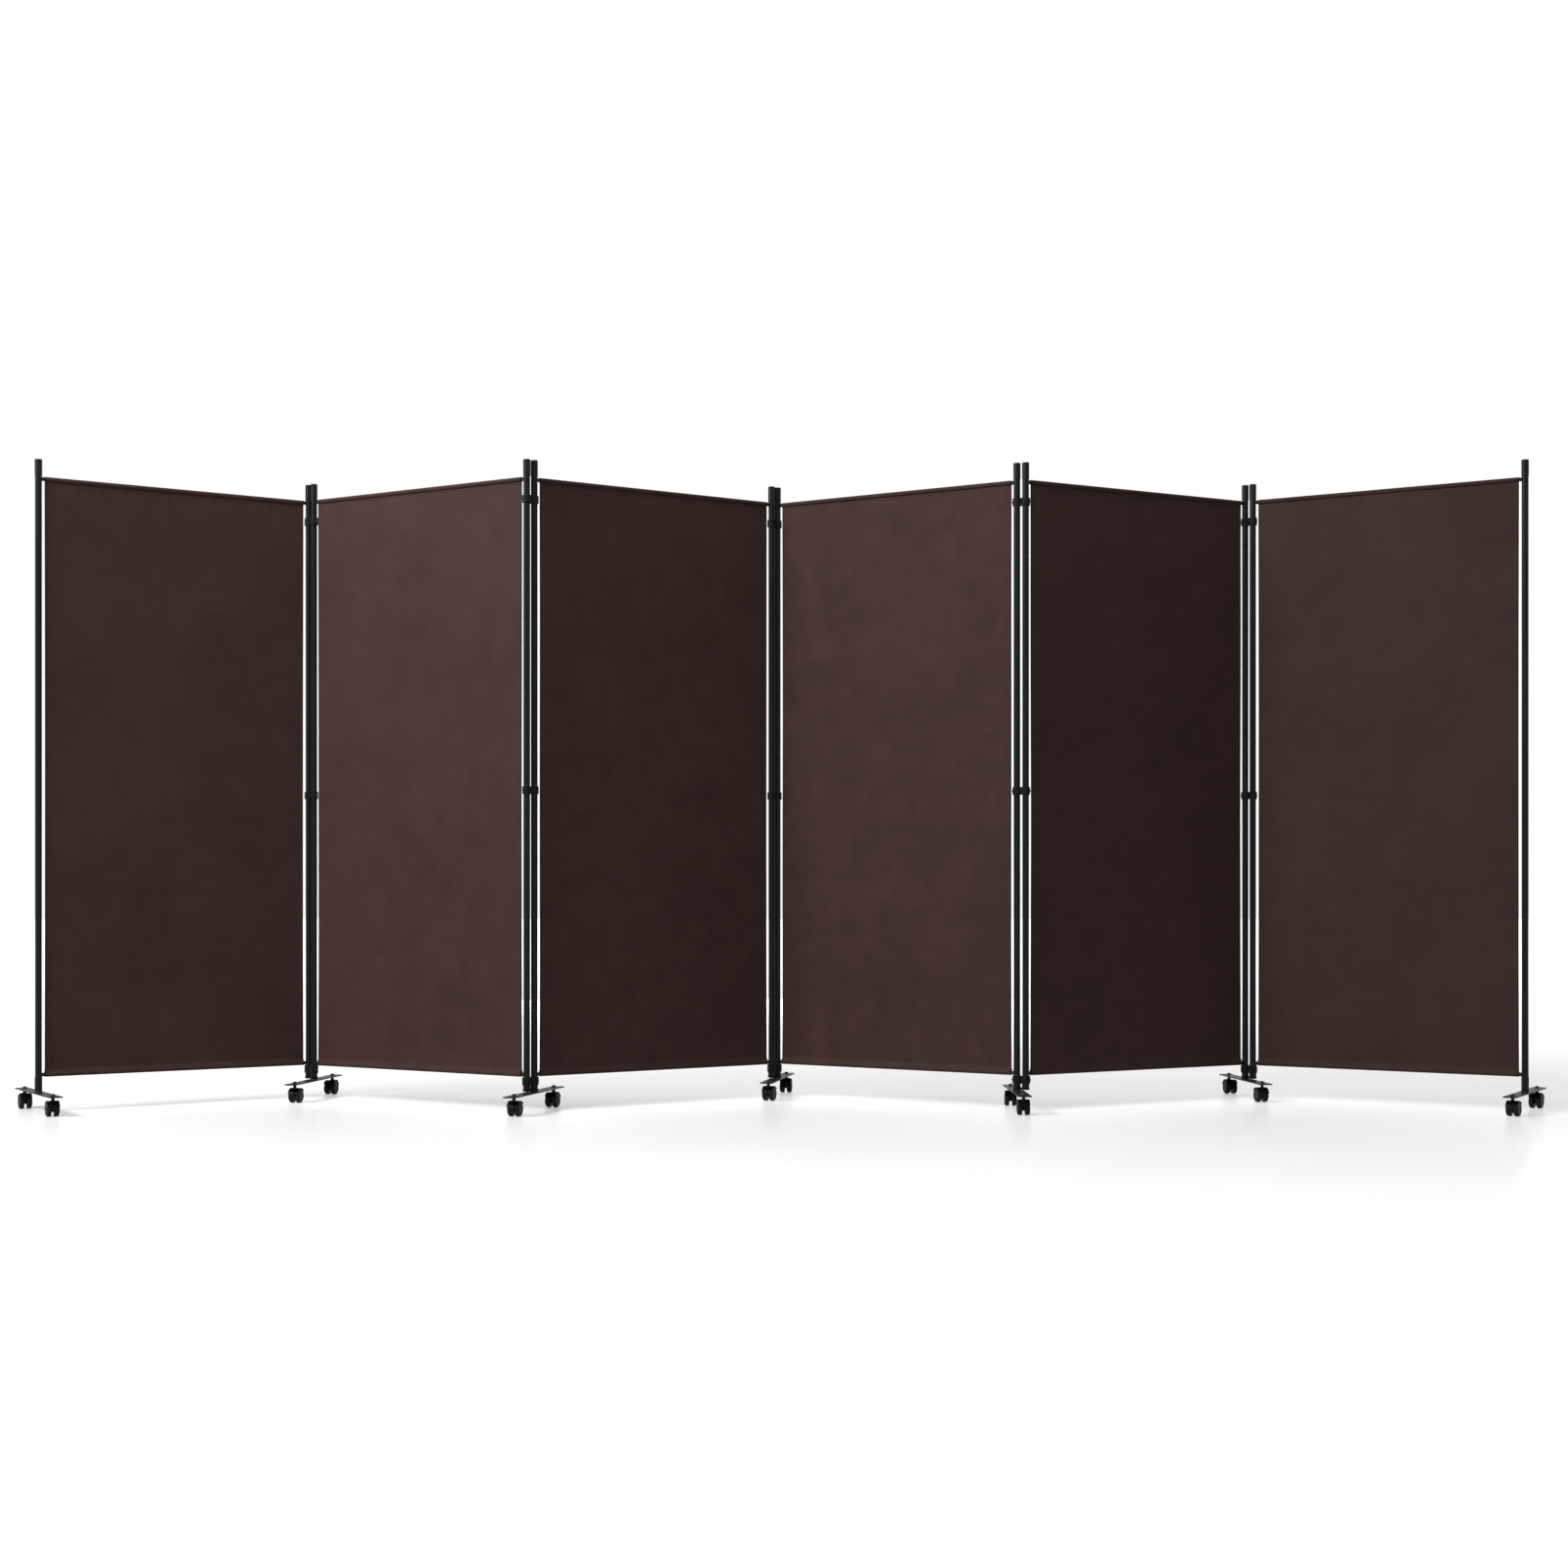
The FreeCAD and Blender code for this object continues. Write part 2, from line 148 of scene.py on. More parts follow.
class StitchSettings(bpy.types.PropertyGroup):
    """Sizes of the seam stitches."""

    pitch: metres("Pitch", "From one stitch to the next", 0.0046)
    length: metres("Length", "Length of one stitch", 0.0036)
    width: metres("Width", "Thickness of the thread", 0.0006)
    hem_inset: metres("Hem inset", "From the cloth's side to its row of stitches", 0.0118)
    seam_inset: metres("Seam inset", "From a pocket's seam to its row of stitches", 0.0022)


class HardwareSettings(bpy.types.PropertyGroup):
    """Colours and sizes of the frames, clips, feet and casters."""

    coat: tint("Tube coat", "Black powder coat of the tubes", (0.0055, 0.0058, 0.006))
    plate: tint("Plate coat", "Black coat of the foot plates", (0.009, 0.009, 0.0095))
    moulded: tint("Moulded black", "Black of the caps, clips and housings", (0.0062, 0.0062, 0.0065))
    wheel: tint("Wheel black", "Black of the wheels", (0.0105, 0.0105, 0.011))
    coat_gloss: amount("Coat gloss", "Specular level of the tubes' powder coat", 0.12)
    plate_gloss: amount("Plate gloss", "Specular level of the plates' coat", 0.1)
    moulded_gloss: amount("Moulded gloss", "Specular level of the caps, clips, housings and wheels", 0.08)
    screw_radius: metres("Screw radius", "Radius of a clip screw's head", 0.0031)
    screw_height: metres("Screw height", "Height of a clip screw's head", 0.0019)
    nut_flats: metres("Nut flats", "Across the flats of a stem's lock nut", 0.0104)
    hub_radius: metres("Hub cap radius", "Radius of a wheel's hub cap", 0.0099)


class StudioSettings(bpy.types.PropertyGroup):
    """Camera, lamps, floor and background."""

    camera_place: spot("Camera place", "Where the camera stands", (0.0271, -6.5103, 0.6639))
    camera_turn: amount("Camera turn", "Turn of the camera to the left", 0.003, unit="ROTATION")
    focal_length: amount("Focal length", "Lens in millimetres on a 36 mm frame", 50.73)
    rise: amount("Rise", "Lens shift upwards, in frame widths", 0.0603)
    key_power: amount("Key power", "Soft lamp at the front left", 290.0, unit="POWER")
    key_place: spot("Key place", "Where the key lamp hangs", (-4.7, -2.9, 3.8))
    key_size: metres("Key size", "Side of the square key lamp", 1.3)
    fill_power: amount("Fill power", "Soft lamp over the front", 78.0, unit="POWER")
    fill_place: spot("Fill place", "Where the fill lamp hangs", (-0.9, -2.3, 4.3))
    fill_size: metres("Fill size", "Side of the square fill lamp", 2.4)
    back_power: amount("Back power", "Soft lamp low behind the screen", 180.0, unit="POWER")
    back_place: spot("Back place", "Where the back lamp stands", (-0.6, 5.6, 1.3))
    back_size: metres("Back size", "Side of the square back lamp", 2.4)
    surround: amount("Surround", "Light from the white room", 0.2)
    # Painted light: the floor's glow is set apart at the left, the right, the front and behind, to even out
    # the lamps' falloff and lighten the shadow behind the screen
    painted_light_left: amount("Glow left", "White that the floor shows to the camera at the left", 0.15)
    painted_light_right: amount("Glow right", "White that the floor shows to the camera at the right", 0.41)
    painted_light_front: amount("Glow front", "White that is added well in front of the screen", 0.19)
    painted_light_behind: amount("Glow behind", "White that the floor shows behind the screen", 0.46)
    floor_bounce: amount("Floor bounce", "Grey of the floor for the light that it throws back up", 0.35)
    floor_sheen: amount("Floor sheen", "Share of the floor that mirrors", 0.24)
    floor_roughness: amount("Floor roughness", "Softness of the floor's reflections", 0.25)


# Meshes and materials, shared


def cleared(name):
    """Nothing of this name is left from an earlier run."""
    old = bpy.data.objects.get(name)
    if old is not None:
        bpy.data.objects.remove(old, do_unlink=True)


def new_object(name, mesh, material=None):
    """A mesh object at the origin, in the scene."""
    cleared(name)
    obj = bpy.data.objects.new(name, mesh)
    bpy.context.scene.collection.objects.link(obj)
    if material is not None:
        mesh.materials.clear()
        mesh.materials.append(material)
    return obj


def mesh_from(name, points, faces):
    """A smooth mesh from numpy points and equal-sided faces."""
    mesh = bpy.data.meshes.new(name)
    points = np.asarray(points, dtype=np.float32)
    faces = np.asarray(faces, dtype=np.int32)
    sides = faces.shape[1]
    mesh.vertices.add(len(points))
    mesh.vertices.foreach_set("co", points.ravel())
    mesh.loops.add(faces.size)
    mesh.loops.foreach_set("vertex_index", faces.ravel())
    mesh.polygons.add(len(faces))
    mesh.polygons.foreach_set("loop_start", np.arange(0, faces.size, sides, dtype=np.int32))
    mesh.polygons.foreach_set("use_smooth", np.ones(len(faces), dtype=bool))
    mesh.update(calc_edges=True)
    mesh.validate()
    return mesh


def wired(tree, kind, inputs=(), **settings):
    """A node of a tree with its inputs set or linked."""
    node = tree.nodes.new(kind)
    for key, value in settings.items():
        setattr(node, key, value)
    for key, value in dict(inputs).items():
        if isinstance(value, bpy.types.NodeSocket):
            tree.links.new(value, node.inputs[key])
        else:
            node.inputs[key].default_value = value
    return node


class Nodes:
    """The shader tree of a material or world, with short calls that add a node and wire it."""

    def __init__(self, owner, end="ShaderNodeOutputMaterial"):
        owner.use_nodes = True
        self.owner = owner
        self.tree = owner.node_tree
        self.tree.nodes.clear()
        self.end = self.tree.nodes.new(end)

    def add(self, kind, inputs=(), **settings):
        return wired(self.tree, kind, inputs, **settings)

    def math(self, operation, *values, clamp=False):
        pairs = list(enumerate(values))
        return self.add("ShaderNodeMath", pairs, operation=operation, use_clamp=clamp).outputs[0]

    def place(self):
        return self.add("ShaderNodeTexCoord").outputs["Object"]

    def stretched(self, vector, scale, turn=(0, 0, 0)):
        inputs = {"Vector": vector, "Scale": scale, "Rotation": turn}
        return self.add("ShaderNodeMapping", inputs).outputs[0]

    def noise(self, vector, scale, detail=3.0, rough=0.55):
        inputs = {"Vector": vector, "Scale": scale, "Detail": detail, "Roughness": rough}
        return self.add("ShaderNodeTexNoise", inputs).outputs["Fac"]

    def ranged(self, value, low, high, new_low, new_high):
        inputs = {"Value": value, 1: low, 2: high, 3: new_low, 4: new_high}
        return self.add("ShaderNodeMapRange", inputs).outputs[0]

    def blend(self, factor, first, second):
        ends = [end if isinstance(end, bpy.types.NodeSocket) else (*end, 1.0) for end in (first, second)]
        inputs = {0: factor, 6: ends[0], 7: ends[1]}
        return self.add("ShaderNodeMix", inputs, data_type="RGBA", clamp_factor=True).outputs[2]

    def bump(self, height, strength, distance, before=None):
        inputs = {"Height": height, "Strength": strength, "Distance": distance}
        if before is not None:
            inputs["Normal"] = before
        return self.add("ShaderNodeBump", inputs).outputs[0]

    def close(self, shader):
        self.tree.links.new(shader.outputs[0], self.end.inputs[0])
        return self.owner

    def finish(self, inputs):
        return self.close(self.add("ShaderNodeBsdfPrincipled", inputs))


def material_nodes(name):
    """The emptied tree of a material of this name."""
    return Nodes(bpy.data.materials.get(name) or bpy.data.materials.new(name))


def shade(colour, factor):
    """A colour made lighter or darker."""
    return tuple(min(1.0, part * factor) for part in colour)


# Where the panels stand, read from the frame


def points_of(obj):
    """An object's mesh points, one in each row."""
    points = np.empty(len(obj.data.vertices) * 3, dtype=np.float32)
    obj.data.vertices.foreach_get("co", points)
    return points.reshape(-1, 3)


def post_axes(number):
    """The middles of a panel's left and right posts, from the caps on their tops."""
    points = points_of(NODES[f"panel_{number}_frame"])
    top = points[points[:, 2] > points[:, 2].max() - CAP_HEIGHT]
    split = (top[:, 0].min() + top[:, 0].max()) / 2
    middles = []
    for side in (top[top[:, 0] < split], top[top[:, 0] > split]):
        middles.append((side.min(axis=0) + side.max(axis=0))[:2] / 2)
    return middles


class Panel:
    """A panel's own axes: u from its left post to its right one, y to the back, z up."""

    def __init__(self, number):
        self.number = number
        left, right = post_axes(number)
        self.start = left
        self.pitch = float(np.linalg.norm(right - left))
        self.along = (right - left) / self.pitch
        self.back = np.array([-self.along[1], self.along[0]])
        low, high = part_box(f"panel_{number}_fabric")
        self.bottom, self.top = low[2], high[2]

    def world(self, u, y, z):
        """Points in the row frame from a panel's own places."""
        across = self.start[0] + self.along[0] * u + self.back[0] * y
        depth = self.start[1] + self.along[1] * u + self.back[1] * y
        return np.stack([across, depth, z], axis=-1)


# Cloth

# The panel's slow waves and the seams' short puckers, in radians to a metre
WAVES = 6
WAVE_TURNS_ACROSS = (3.5, 11.0)
WAVE_TURNS_UP = (2.0, 7.0)
WAVE_END_POWER = 0.6
PHASES = (0, 6.28)
PUCKERS = 8
PUCKER_TURNS = (140, 330)
SEAM_PUCKER_SLANT = 9
SIDE_PUCKER_SLANT = 7

# How far from a seam or hem its puckers fade out and start, and the shares of the weaker ones
TOP_FADE = 0.045
BOTTOM_FADE = 0.05
SIDE_FADE = 0.03
SEAM_START = 0.006
SIDE_START = 0.02
SECOND_SHARE = 0.6
SIDE_SHARE = 0.6

# The pockets' loops, the hems' step and ends, the thin rim of the cloth, and the sides' inward bow
LAYER_STEP_SHARE = 1.02
LOOP_STEPS = 16
HEM_STEP = 0.0012
HEM_END = 0.004
RIM_WIDTH = 0.0012
RIM_SHARES = (0.45, 0.55)
BOW = 0.0011
BOW_POWER = 9

# Mesh rows below a seam, and mesh columns inside the cloth's side and round the hem's inner edge
SEAM_ROWS = [0.002, 0.004, 0.007, 0.011, 0.016, 0.022, 0.029]
SIDE_COLUMNS = [0, 0.0012, 0.003, 0.0055, 0.0085, 0.0112, 0.0124]
HEM_COLUMNS = [-0.0006, 0, 0.0012, 0.004]


def settings_of(context):
    """The four groups of settings."""
    scene = context.scene
    return scene.screen_cloth, scene.screen_stitches, scene.screen_hardware, scene.screen_studio


def between(start, end, spans=3):
    """The places that split a line into equal spans."""
    shares = [step / spans for step in range(1, spans)]
    return [tuple(a + (b - a) * share for a, b in zip(start, end)) for share in shares]


def spaced(edge, width, spacing):
    """The edge's places at both ends of a width, with even ones between them."""
    count = round((width - 2 * edge[-1]) / spacing)
    even = np.linspace(edge[-1], width - edge[-1], count + 1)[1:-1]
    return edge + list(even) + [width - inset for inset in reversed(edge)]


class Cloth:
    """The shape of one stretched sheet with its two rail pockets."""

    def __init__(self, panel, cloth):
        self.panel = panel
        self.cloth = cloth
        self.near = cloth.side_gap
        self.far = panel.pitch - cloth.side_gap
        rail_drop = cloth.pocket_radius + cloth.thickness / 2
        self.top_rail = panel.top - rail_drop
        self.bottom_rail = panel.bottom + rail_drop
        self.top_seam = panel.top - cloth.top_pocket
        self.bottom_seam = panel.bottom + cloth.bottom_pocket
        chance = np.random.default_rng(cloth.seed + panel.number)
        self.waves = [
            (chance.uniform(*WAVE_TURNS_ACROSS), chance.uniform(*WAVE_TURNS_UP), chance.uniform(*PHASES))
            for _ in range(WAVES)
        ]
        self.puckers = [(chance.uniform(*PUCKER_TURNS), chance.uniform(*PHASES)) for _ in range(PUCKERS)]

    def below_top(self, z, reach):
        """A share that rises from the top seam to its full at this reach below it."""
        return np.clip((self.top_seam - z) / reach, 0, 1)

    def above_bottom(self, z, reach):
        """A share that rises from the bottom seam to its full at this reach above it."""
        return np.clip((z - self.bottom_seam) / reach, 0, 1)

    def stand_off(self, u, z):
        """How far the cloth stands behind its plane, from billow and the seams' puckers."""
        share = self.above_bottom(z, self.top_seam - self.bottom_seam)
        slow = sum(np.sin(a * u + b * z + phase) for a, b, phase in self.waves) / 3
        slow = slow * self.cloth.billow * np.sin(np.pi * share) ** WAVE_END_POWER
        top, top_second, bottom, bottom_second = [
            np.sin(k * u + phase + SEAM_PUCKER_SLANT * z) for k, phase in self.puckers[:4]
        ]
        below = np.exp(-np.abs(self.top_seam - z) / TOP_FADE) * self.below_top(z, SEAM_START)
        above = np.exp(-np.abs(z - self.bottom_seam) / BOTTOM_FADE) * self.above_bottom(z, SEAM_START)
        sewn = (top + SECOND_SHARE * top_second) * below + (bottom + SECOND_SHARE * bottom_second) * above
        left, left_second, right, right_second = [
            np.sin(k * z + phase + SIDE_PUCKER_SLANT * u) for k, phase in self.puckers[4:]
        ]
        inner = self.cloth.hem_width
        near = np.exp(-np.abs(u - self.near - inner) / SIDE_FADE)
        far = np.exp(-np.abs(self.far - inner - u) / SIDE_FADE)
        edge = (left + SECOND_SHARE * left_second) * near + (right + SECOND_SHARE * right_second) * far
        edge = edge * SIDE_SHARE * np.minimum(self.below_top(z, SIDE_START), self.above_bottom(z, SIDE_START))
        return slow + self.cloth.pucker * (sewn + edge)

    def path(self):
        """The cloth's line round both rails, as (y, z), from its top tuck to its bottom one."""
        cloth = self.cloth
        layer = cloth.thickness * LAYER_STEP_SHARE

        def pocket(rail, seam, sign):
            lean = math.acos((cloth.pocket_radius - layer / 2) / abs(seam - rail))
            reach = math.pi - lean
            back = [(layer, seam - sign * cloth.tuck), (layer, seam)]
            loop = []
            for step in range(LOOP_STEPS + 1):
                turn = reach - 2 * reach * step / LOOP_STEPS
                out, up = cloth.pocket_radius * math.sin(turn), cloth.pocket_radius * math.cos(turn)
                loop.append((out, rail + sign * up))
            front = [(0.0, seam)]
            return back + between(back[1], loop[0]) + loop + between(loop[-1], front[0]) + front

        points = pocket(self.top_rail, self.top_seam, 1)
        drops = spaced(SEAM_ROWS, self.top_seam - self.bottom_seam, cloth.spacing)
        points += [(0.0, self.top_seam - drop) for drop in drops]
        points += list(reversed(pocket(self.bottom_rail, self.bottom_seam, -1)))
        return np.array(points)

    def along(self):
        """Distances down the cloth's line, one for each of its points."""
        steps = np.linalg.norm(np.diff(self.path(), axis=0), axis=1)
        return np.concatenate([[0], np.cumsum(steps)])

    def columns(self):
        """Places across the cloth, closer together at the hems."""
        edge = SIDE_COLUMNS + [self.cloth.hem_width + inset for inset in HEM_COLUMNS]
        return np.array(spaced(edge, self.far - self.near, self.cloth.spacing)) + self.near

    def to_side(self, u):
        """Distance to the nearer side of the cloth."""
        return np.minimum(u - self.near, self.far - u)

    def behind(self, u, z):
        """Thickness of the turned hem behind the cloth."""
        step = np.clip((self.cloth.hem_width - self.to_side(u)) / HEM_STEP, 0, 1)
        ends = np.minimum(self.below_top(z, HEM_END), self.above_bottom(z, HEM_END))
        return self.cloth.hem_swell * step * step * (3 - 2 * step) * ends

    def surfaces(self):
        """Front and back points, row by row, with their places along the cloth."""
        path, along, places = self.path(), self.along(), self.columns()
        run = np.gradient(path, axis=0)
        run /= np.linalg.norm(run, axis=1)[:, None]
        outward = np.stack([run[:, 1], -run[:, 0]], axis=1)
        u, along = np.meshgrid(places, along)
        y = np.repeat(path[:, :1], len(places), axis=1)
        z = np.repeat(path[:, 1:], len(places), axis=1)
        flat = (y == 0) & (z <= self.top_seam) & (z >= self.bottom_seam)
        moved = np.where(flat, self.stand_off(u, z), 0)
        half = self.cloth.thickness / 2
        round_off = np.clip(self.to_side(u) / RIM_WIDTH, 0, 1) * RIM_SHARES[0] + RIM_SHARES[1]
        front = half * round_off
        back = (half + np.where(flat, self.behind(u, z), 0)) * round_off
        bow = BOW * np.sin(np.pi * self.above_bottom(z, self.top_seam - self.bottom_seam))
        u_in = u + bow * (1 - 2 * (u - self.near) / (self.far - self.near)) ** BOW_POWER
        sheets = []
        for offset in (front, -back):
            depth, height = y + moved + outward[:, :1] * offset, z + outward[:, 1:] * offset
            sheets.append(self.panel.world(u_in, depth, height))
        return sheets, u, along


def sheet_mesh(name, shape):
    """One closed mesh of the sheet's front, back and rim, with its cut's metres as its UV map."""
    (front, back), u, along = shape.surfaces()
    rows, columns = u.shape
    points = np.concatenate([front.reshape(-1, 3), back.reshape(-1, 3)])
    index = np.arange(rows * columns).reshape(rows, columns)
    a, b = index[:-1, :-1].ravel(), index[1:, :-1].ravel()
    c, d = index[1:, 1:].ravel(), index[:-1, 1:].ravel()
    shift = rows * columns
    faces = [np.stack([a, b, c, d], axis=1), np.stack([a, d, c, b], axis=1) + shift]
    ring = np.concatenate([index[0, :], index[1:, -1], index[-1, -2::-1], index[-2:0:-1, 0]])
    after = np.roll(ring, -1)
    faces.append(np.stack([ring, after, after + shift, ring + shift], axis=1))
    faces = np.concatenate(faces)
    mesh = mesh_from(name, points, faces)
    layer = mesh.uv_layers.new(name="cut")
    cut = np.stack([u.ravel(), along.ravel()], axis=1)
    cut = np.concatenate([cut, cut])
    loops = np.empty(len(mesh.loops), dtype=np.int32)
    mesh.loops.foreach_get("vertex_index", loops)
    layer.data.foreach_set("uv", cut[loops].astype(np.float32).ravel())
    return mesh


# The groove that a row of stitches pulls into the cloth: half its width, its depth, and the tone and share of
# the painted shade in it
GROOVE_WIDTH = 0.0014
GROOVE_DEPTH = 0.0006
PAINTED_GROOVE_SHADE_TONE = 0.45
PAINTED_GROOVE_SHADE_SHARE = 0.3

# The weave's relief, the tone and share of the painted highlight on its raised threads, and the tones of its
# thick ones
WEAVE_DEPTH = 0.00012
PAINTED_THREAD_HIGHLIGHT_TONE = 1.35
PAINTED_THREAD_HIGHLIGHT_SHARE = 0.35
SLUB_TONE = 1.5
SLUB_SHARE = 0.35
SLUB_SCALES = (14, 900)

# The broad and the small soft patches: their noise scales, their shares and the range that they spread
PATCH_SCALES = (4.2, 17.0)
PATCH_SHARES = (0.6, 0.4)
PATCH_RANGE = (0.35, 0.65)

# Painted shade along the cloth's folded side: full up to the first of these places and faded out at the
# second
PAINTED_FOLD_SHADE_PLACES = (0.0015, 0.0045)
PAINTED_FOLD_SHADE_TONE = 0.3
PAINTED_FOLD_SHADE_SHARE = 0.6


def cloth_material(cloth, stitches, shape):
    """Plain-weave polyester: crossing threads with a painted highlight on their crests, slubs, a faint
    mottle, seam grooves with painted shade in them, and painted shade along the folded sides.
    """
    nodes = material_nodes("brown_cloth")
    uv = nodes.add("ShaderNodeUVMap", uv_map="cut").outputs[0]
    parts = nodes.add("ShaderNodeSeparateXYZ", {0: uv})
    u, v = parts.outputs[0], parts.outputs[1]
    warp = nodes.math("MULTIPLY", u, 1 / cloth.weave_pitch)
    weft = nodes.math("MULTIPLY", v, 1 / cloth.weave_pitch)
    ridges = []
    for value in (warp, weft):
        wave = nodes.math("SINE", nodes.math("MULTIPLY", value, math.pi))
        ridges.append(nodes.math("ABSOLUTE", wave))
    sum_of = nodes.math("ADD", nodes.math("FLOOR", warp), nodes.math("FLOOR", weft))
    over = nodes.math("PINGPONG", sum_of, 1.0)
    under = nodes.math("SUBTRACT", 1.0, over)
    weave = nodes.math(
        "MAXIMUM", nodes.math("MULTIPLY", ridges[0], over), nodes.math("MULTIPLY", ridges[1], under)
    )
    slub_up = nodes.noise(nodes.stretched(uv, (*reversed(SLUB_SCALES), 1)), 1.0, 2.0)
    slub_across = nodes.noise(nodes.stretched(uv, (*SLUB_SCALES, 1)), 1.0, 2.0)
    slubs = nodes.math("ADD", slub_up, slub_across)
    broad = nodes.noise(nodes.place(), PATCH_SCALES[0], 4.0, 0.6)
    small = nodes.noise(nodes.place(), PATCH_SCALES[1], 3.0, 0.6)
    patches = [nodes.math("MULTIPLY", noise, share) for noise, share in zip((broad, small), PATCH_SHARES)]
    tone = nodes.ranged(nodes.math("ADD", *patches), *PATCH_RANGE, 0.0, 1.0)
    colour = nodes.blend(tone, shade(cloth.colour, 1 - cloth.mottle), shade(cloth.colour, 1 + cloth.mottle))
    # Painted highlight: the crests of the raised threads are made lighter
    threads = nodes.ranged(weave, 0.2, 1.0, 0.0, 1.0)
    raised = nodes.math("MULTIPLY", threads, PAINTED_THREAD_HIGHLIGHT_SHARE)
    colour = nodes.blend(raised, colour, shade(cloth.colour, PAINTED_THREAD_HIGHLIGHT_TONE))
    thick = nodes.ranged(slubs, 1.12, 1.35, 0.0, SLUB_SHARE)
    colour = nodes.blend(thick, colour, shade(cloth.colour, SLUB_TONE))
    inset = nodes.math(
        "MINIMUM", nodes.math("SUBTRACT", u, shape.near), nodes.math("SUBTRACT", shape.far, u)
    )
    # Painted shade: the cloth's colour is darkened along its folded sides
    fold = nodes.math("MULTIPLY", nodes.ranged(inset, *PAINTED_FOLD_SHADE_PLACES, 1.0, 0.0), PAINTED_FOLD_SHADE_SHARE)
    colour = nodes.blend(fold, colour, shade(cloth.colour, PAINTED_FOLD_SHADE_TONE))
    near = nodes.math("ABSOLUTE", nodes.math("SUBTRACT", inset, stitches.hem_inset))
    grooves = nodes.ranged(near, 0.0, GROOVE_WIDTH, -1.0, 0.0)
    for seam in seam_lines(shape, stitches):
        near = nodes.math("ABSOLUTE", nodes.math("SUBTRACT", v, seam))
        grooves = nodes.math("MINIMUM", grooves, nodes.ranged(near, 0.0, GROOVE_WIDTH, -1.0, 0.0))
    # Painted shade: the cloth's colour is darkened in the stitch grooves, on top of their bump
    dark = nodes.math("MULTIPLY", grooves, -PAINTED_GROOVE_SHADE_SHARE)
    colour = nodes.blend(dark, colour, shade(cloth.colour, PAINTED_GROOVE_SHADE_TONE))
    normal = nodes.bump(grooves, 0.6, GROOVE_DEPTH)
    relief = nodes.math("ADD", weave, nodes.math("MULTIPLY", slubs, 0.5))
    normal = nodes.bump(relief, 0.55, WEAVE_DEPTH, normal)
    rough = nodes.ranged(slubs, 0.7, 1.3, 0.5, 0.62)
    return nodes.finish(
        {
            "Base Color": colour,
            "Roughness": rough,
            "Specular IOR Level": cloth.gloss,
            "Sheen Weight": 0.03,
            "Sheen Roughness": 0.4,
            "Sheen Tint": (1.0, 0.93, 0.9, 1.0),
            "Normal": normal,
        }
    )


def seam_lines(shape, stitches):
    """Places of the pockets' stitch rows along the cut, from the top tuck on."""
    along = shape.along()
    flat = np.where(shape.path()[:, 0] == 0)[0]
    top, bottom = along[flat[0]], along[flat[-1]]
    return [float(top) + stitches.seam_inset, float(bottom) - stitches.seam_inset]


class DIVIDER_OT_cloth(bpy.types.Operator):
    """Make the six stretched fabric panels over their solids"""

    bl_idname = "divider.cloth"
    bl_label = "Fabric panels"

    def execute(self, context):
        cloth, stitches, _, _ = settings_of(context)
        material = None
        for number in range(1, PANELS + 1):
            shape = Cloth(Panel(number), cloth)
            mesh = sheet_mesh(f"cloth_{number}", shape)
            material = material or cloth_material(cloth, stitches, shape)
            piece = new_object(f"cloth_{number}", mesh, material)
            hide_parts(f"panel_{number}_fabric")
            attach(piece, f"panel_{number}")
        return {"FINISHED"}


# Stitches and small fittings, repeated by geometry nodes

# Where a pocket's and a hem's row of stitches begin, and the steps in which it follows the cloth
SEAM_ROW_END = 0.003
HEM_ROW_END = 0.006
ROW_STEP = 0.004


def node_group(name, inputs):
    """An empty geometry tree with named inputs."""
    old = bpy.data.node_groups.get(name)
    if old is not None:
        bpy.data.node_groups.remove(old)
    tree = bpy.data.node_groups.new(name, "GeometryNodeTree")
    tree.interface.new_socket("Geometry", in_out="INPUT", socket_type="NodeSocketGeometry")
    for label, kind in inputs:
        tree.interface.new_socket(label, in_out="INPUT", socket_type=kind)
    tree.interface.new_socket("Geometry", in_out="OUTPUT", socket_type="NodeSocketGeometry")
    return tree


def finished(tree, shape, material):
    """The tree with its last shape given its material and led out."""
    inputs = {"Geometry": shape.outputs[0], "Material": material}
    coloured = wired(tree, "GeometryNodeSetMaterial", inputs)
    wired(tree, "NodeGroupOutput", {0: coloured.outputs[0]})
    return tree


def stitch_tree():
    """Thread capsules at an even pitch along every line of the host mesh."""
    sizes = [(label, "NodeSocketFloat") for label in ("Pitch", "Half length", "Radius")]
    tree = node_group("stitch_rows", sizes + [("Thread", "NodeSocketMaterial")])
    given = tree.nodes.new("NodeGroupInput")
    lines = wired(tree, "GeometryNodeMeshToCurve", {"Mesh": given.outputs["Geometry"]})
    points = wired(
        tree, "GeometryNodeCurveToPoints", {"Curve": lines.outputs[0], "Length": given.outputs["Pitch"]},
        mode="LENGTH",
    )
    bead = wired(tree, "GeometryNodeMeshUVSphere", {"Segments": 5, "Rings": 4, "Radius": 1.0})
    size = wired(
        tree, "ShaderNodeCombineXYZ",
        {0: given.outputs["Radius"], 1: given.outputs["Radius"], 2: given.outputs["Half length"]},
    )
    thread = wired(
        tree, "GeometryNodeTransform", {"Geometry": bead.outputs["Mesh"], "Scale": size.outputs[0]}
    )
    sewn = wired(
        tree, "GeometryNodeInstanceOnPoints",
        {"Points": points.outputs["Points"], "Instance": thread.outputs[0],
         "Rotation": points.outputs["Rotation"]},
    )
    real = wired(tree, "GeometryNodeRealizeInstances", {0: sewn.outputs[0]})
    smooth = wired(tree, "GeometryNodeSetShadeSmooth", {0: real.outputs[0]})
    return finished(tree, smooth, given.outputs["Thread"])


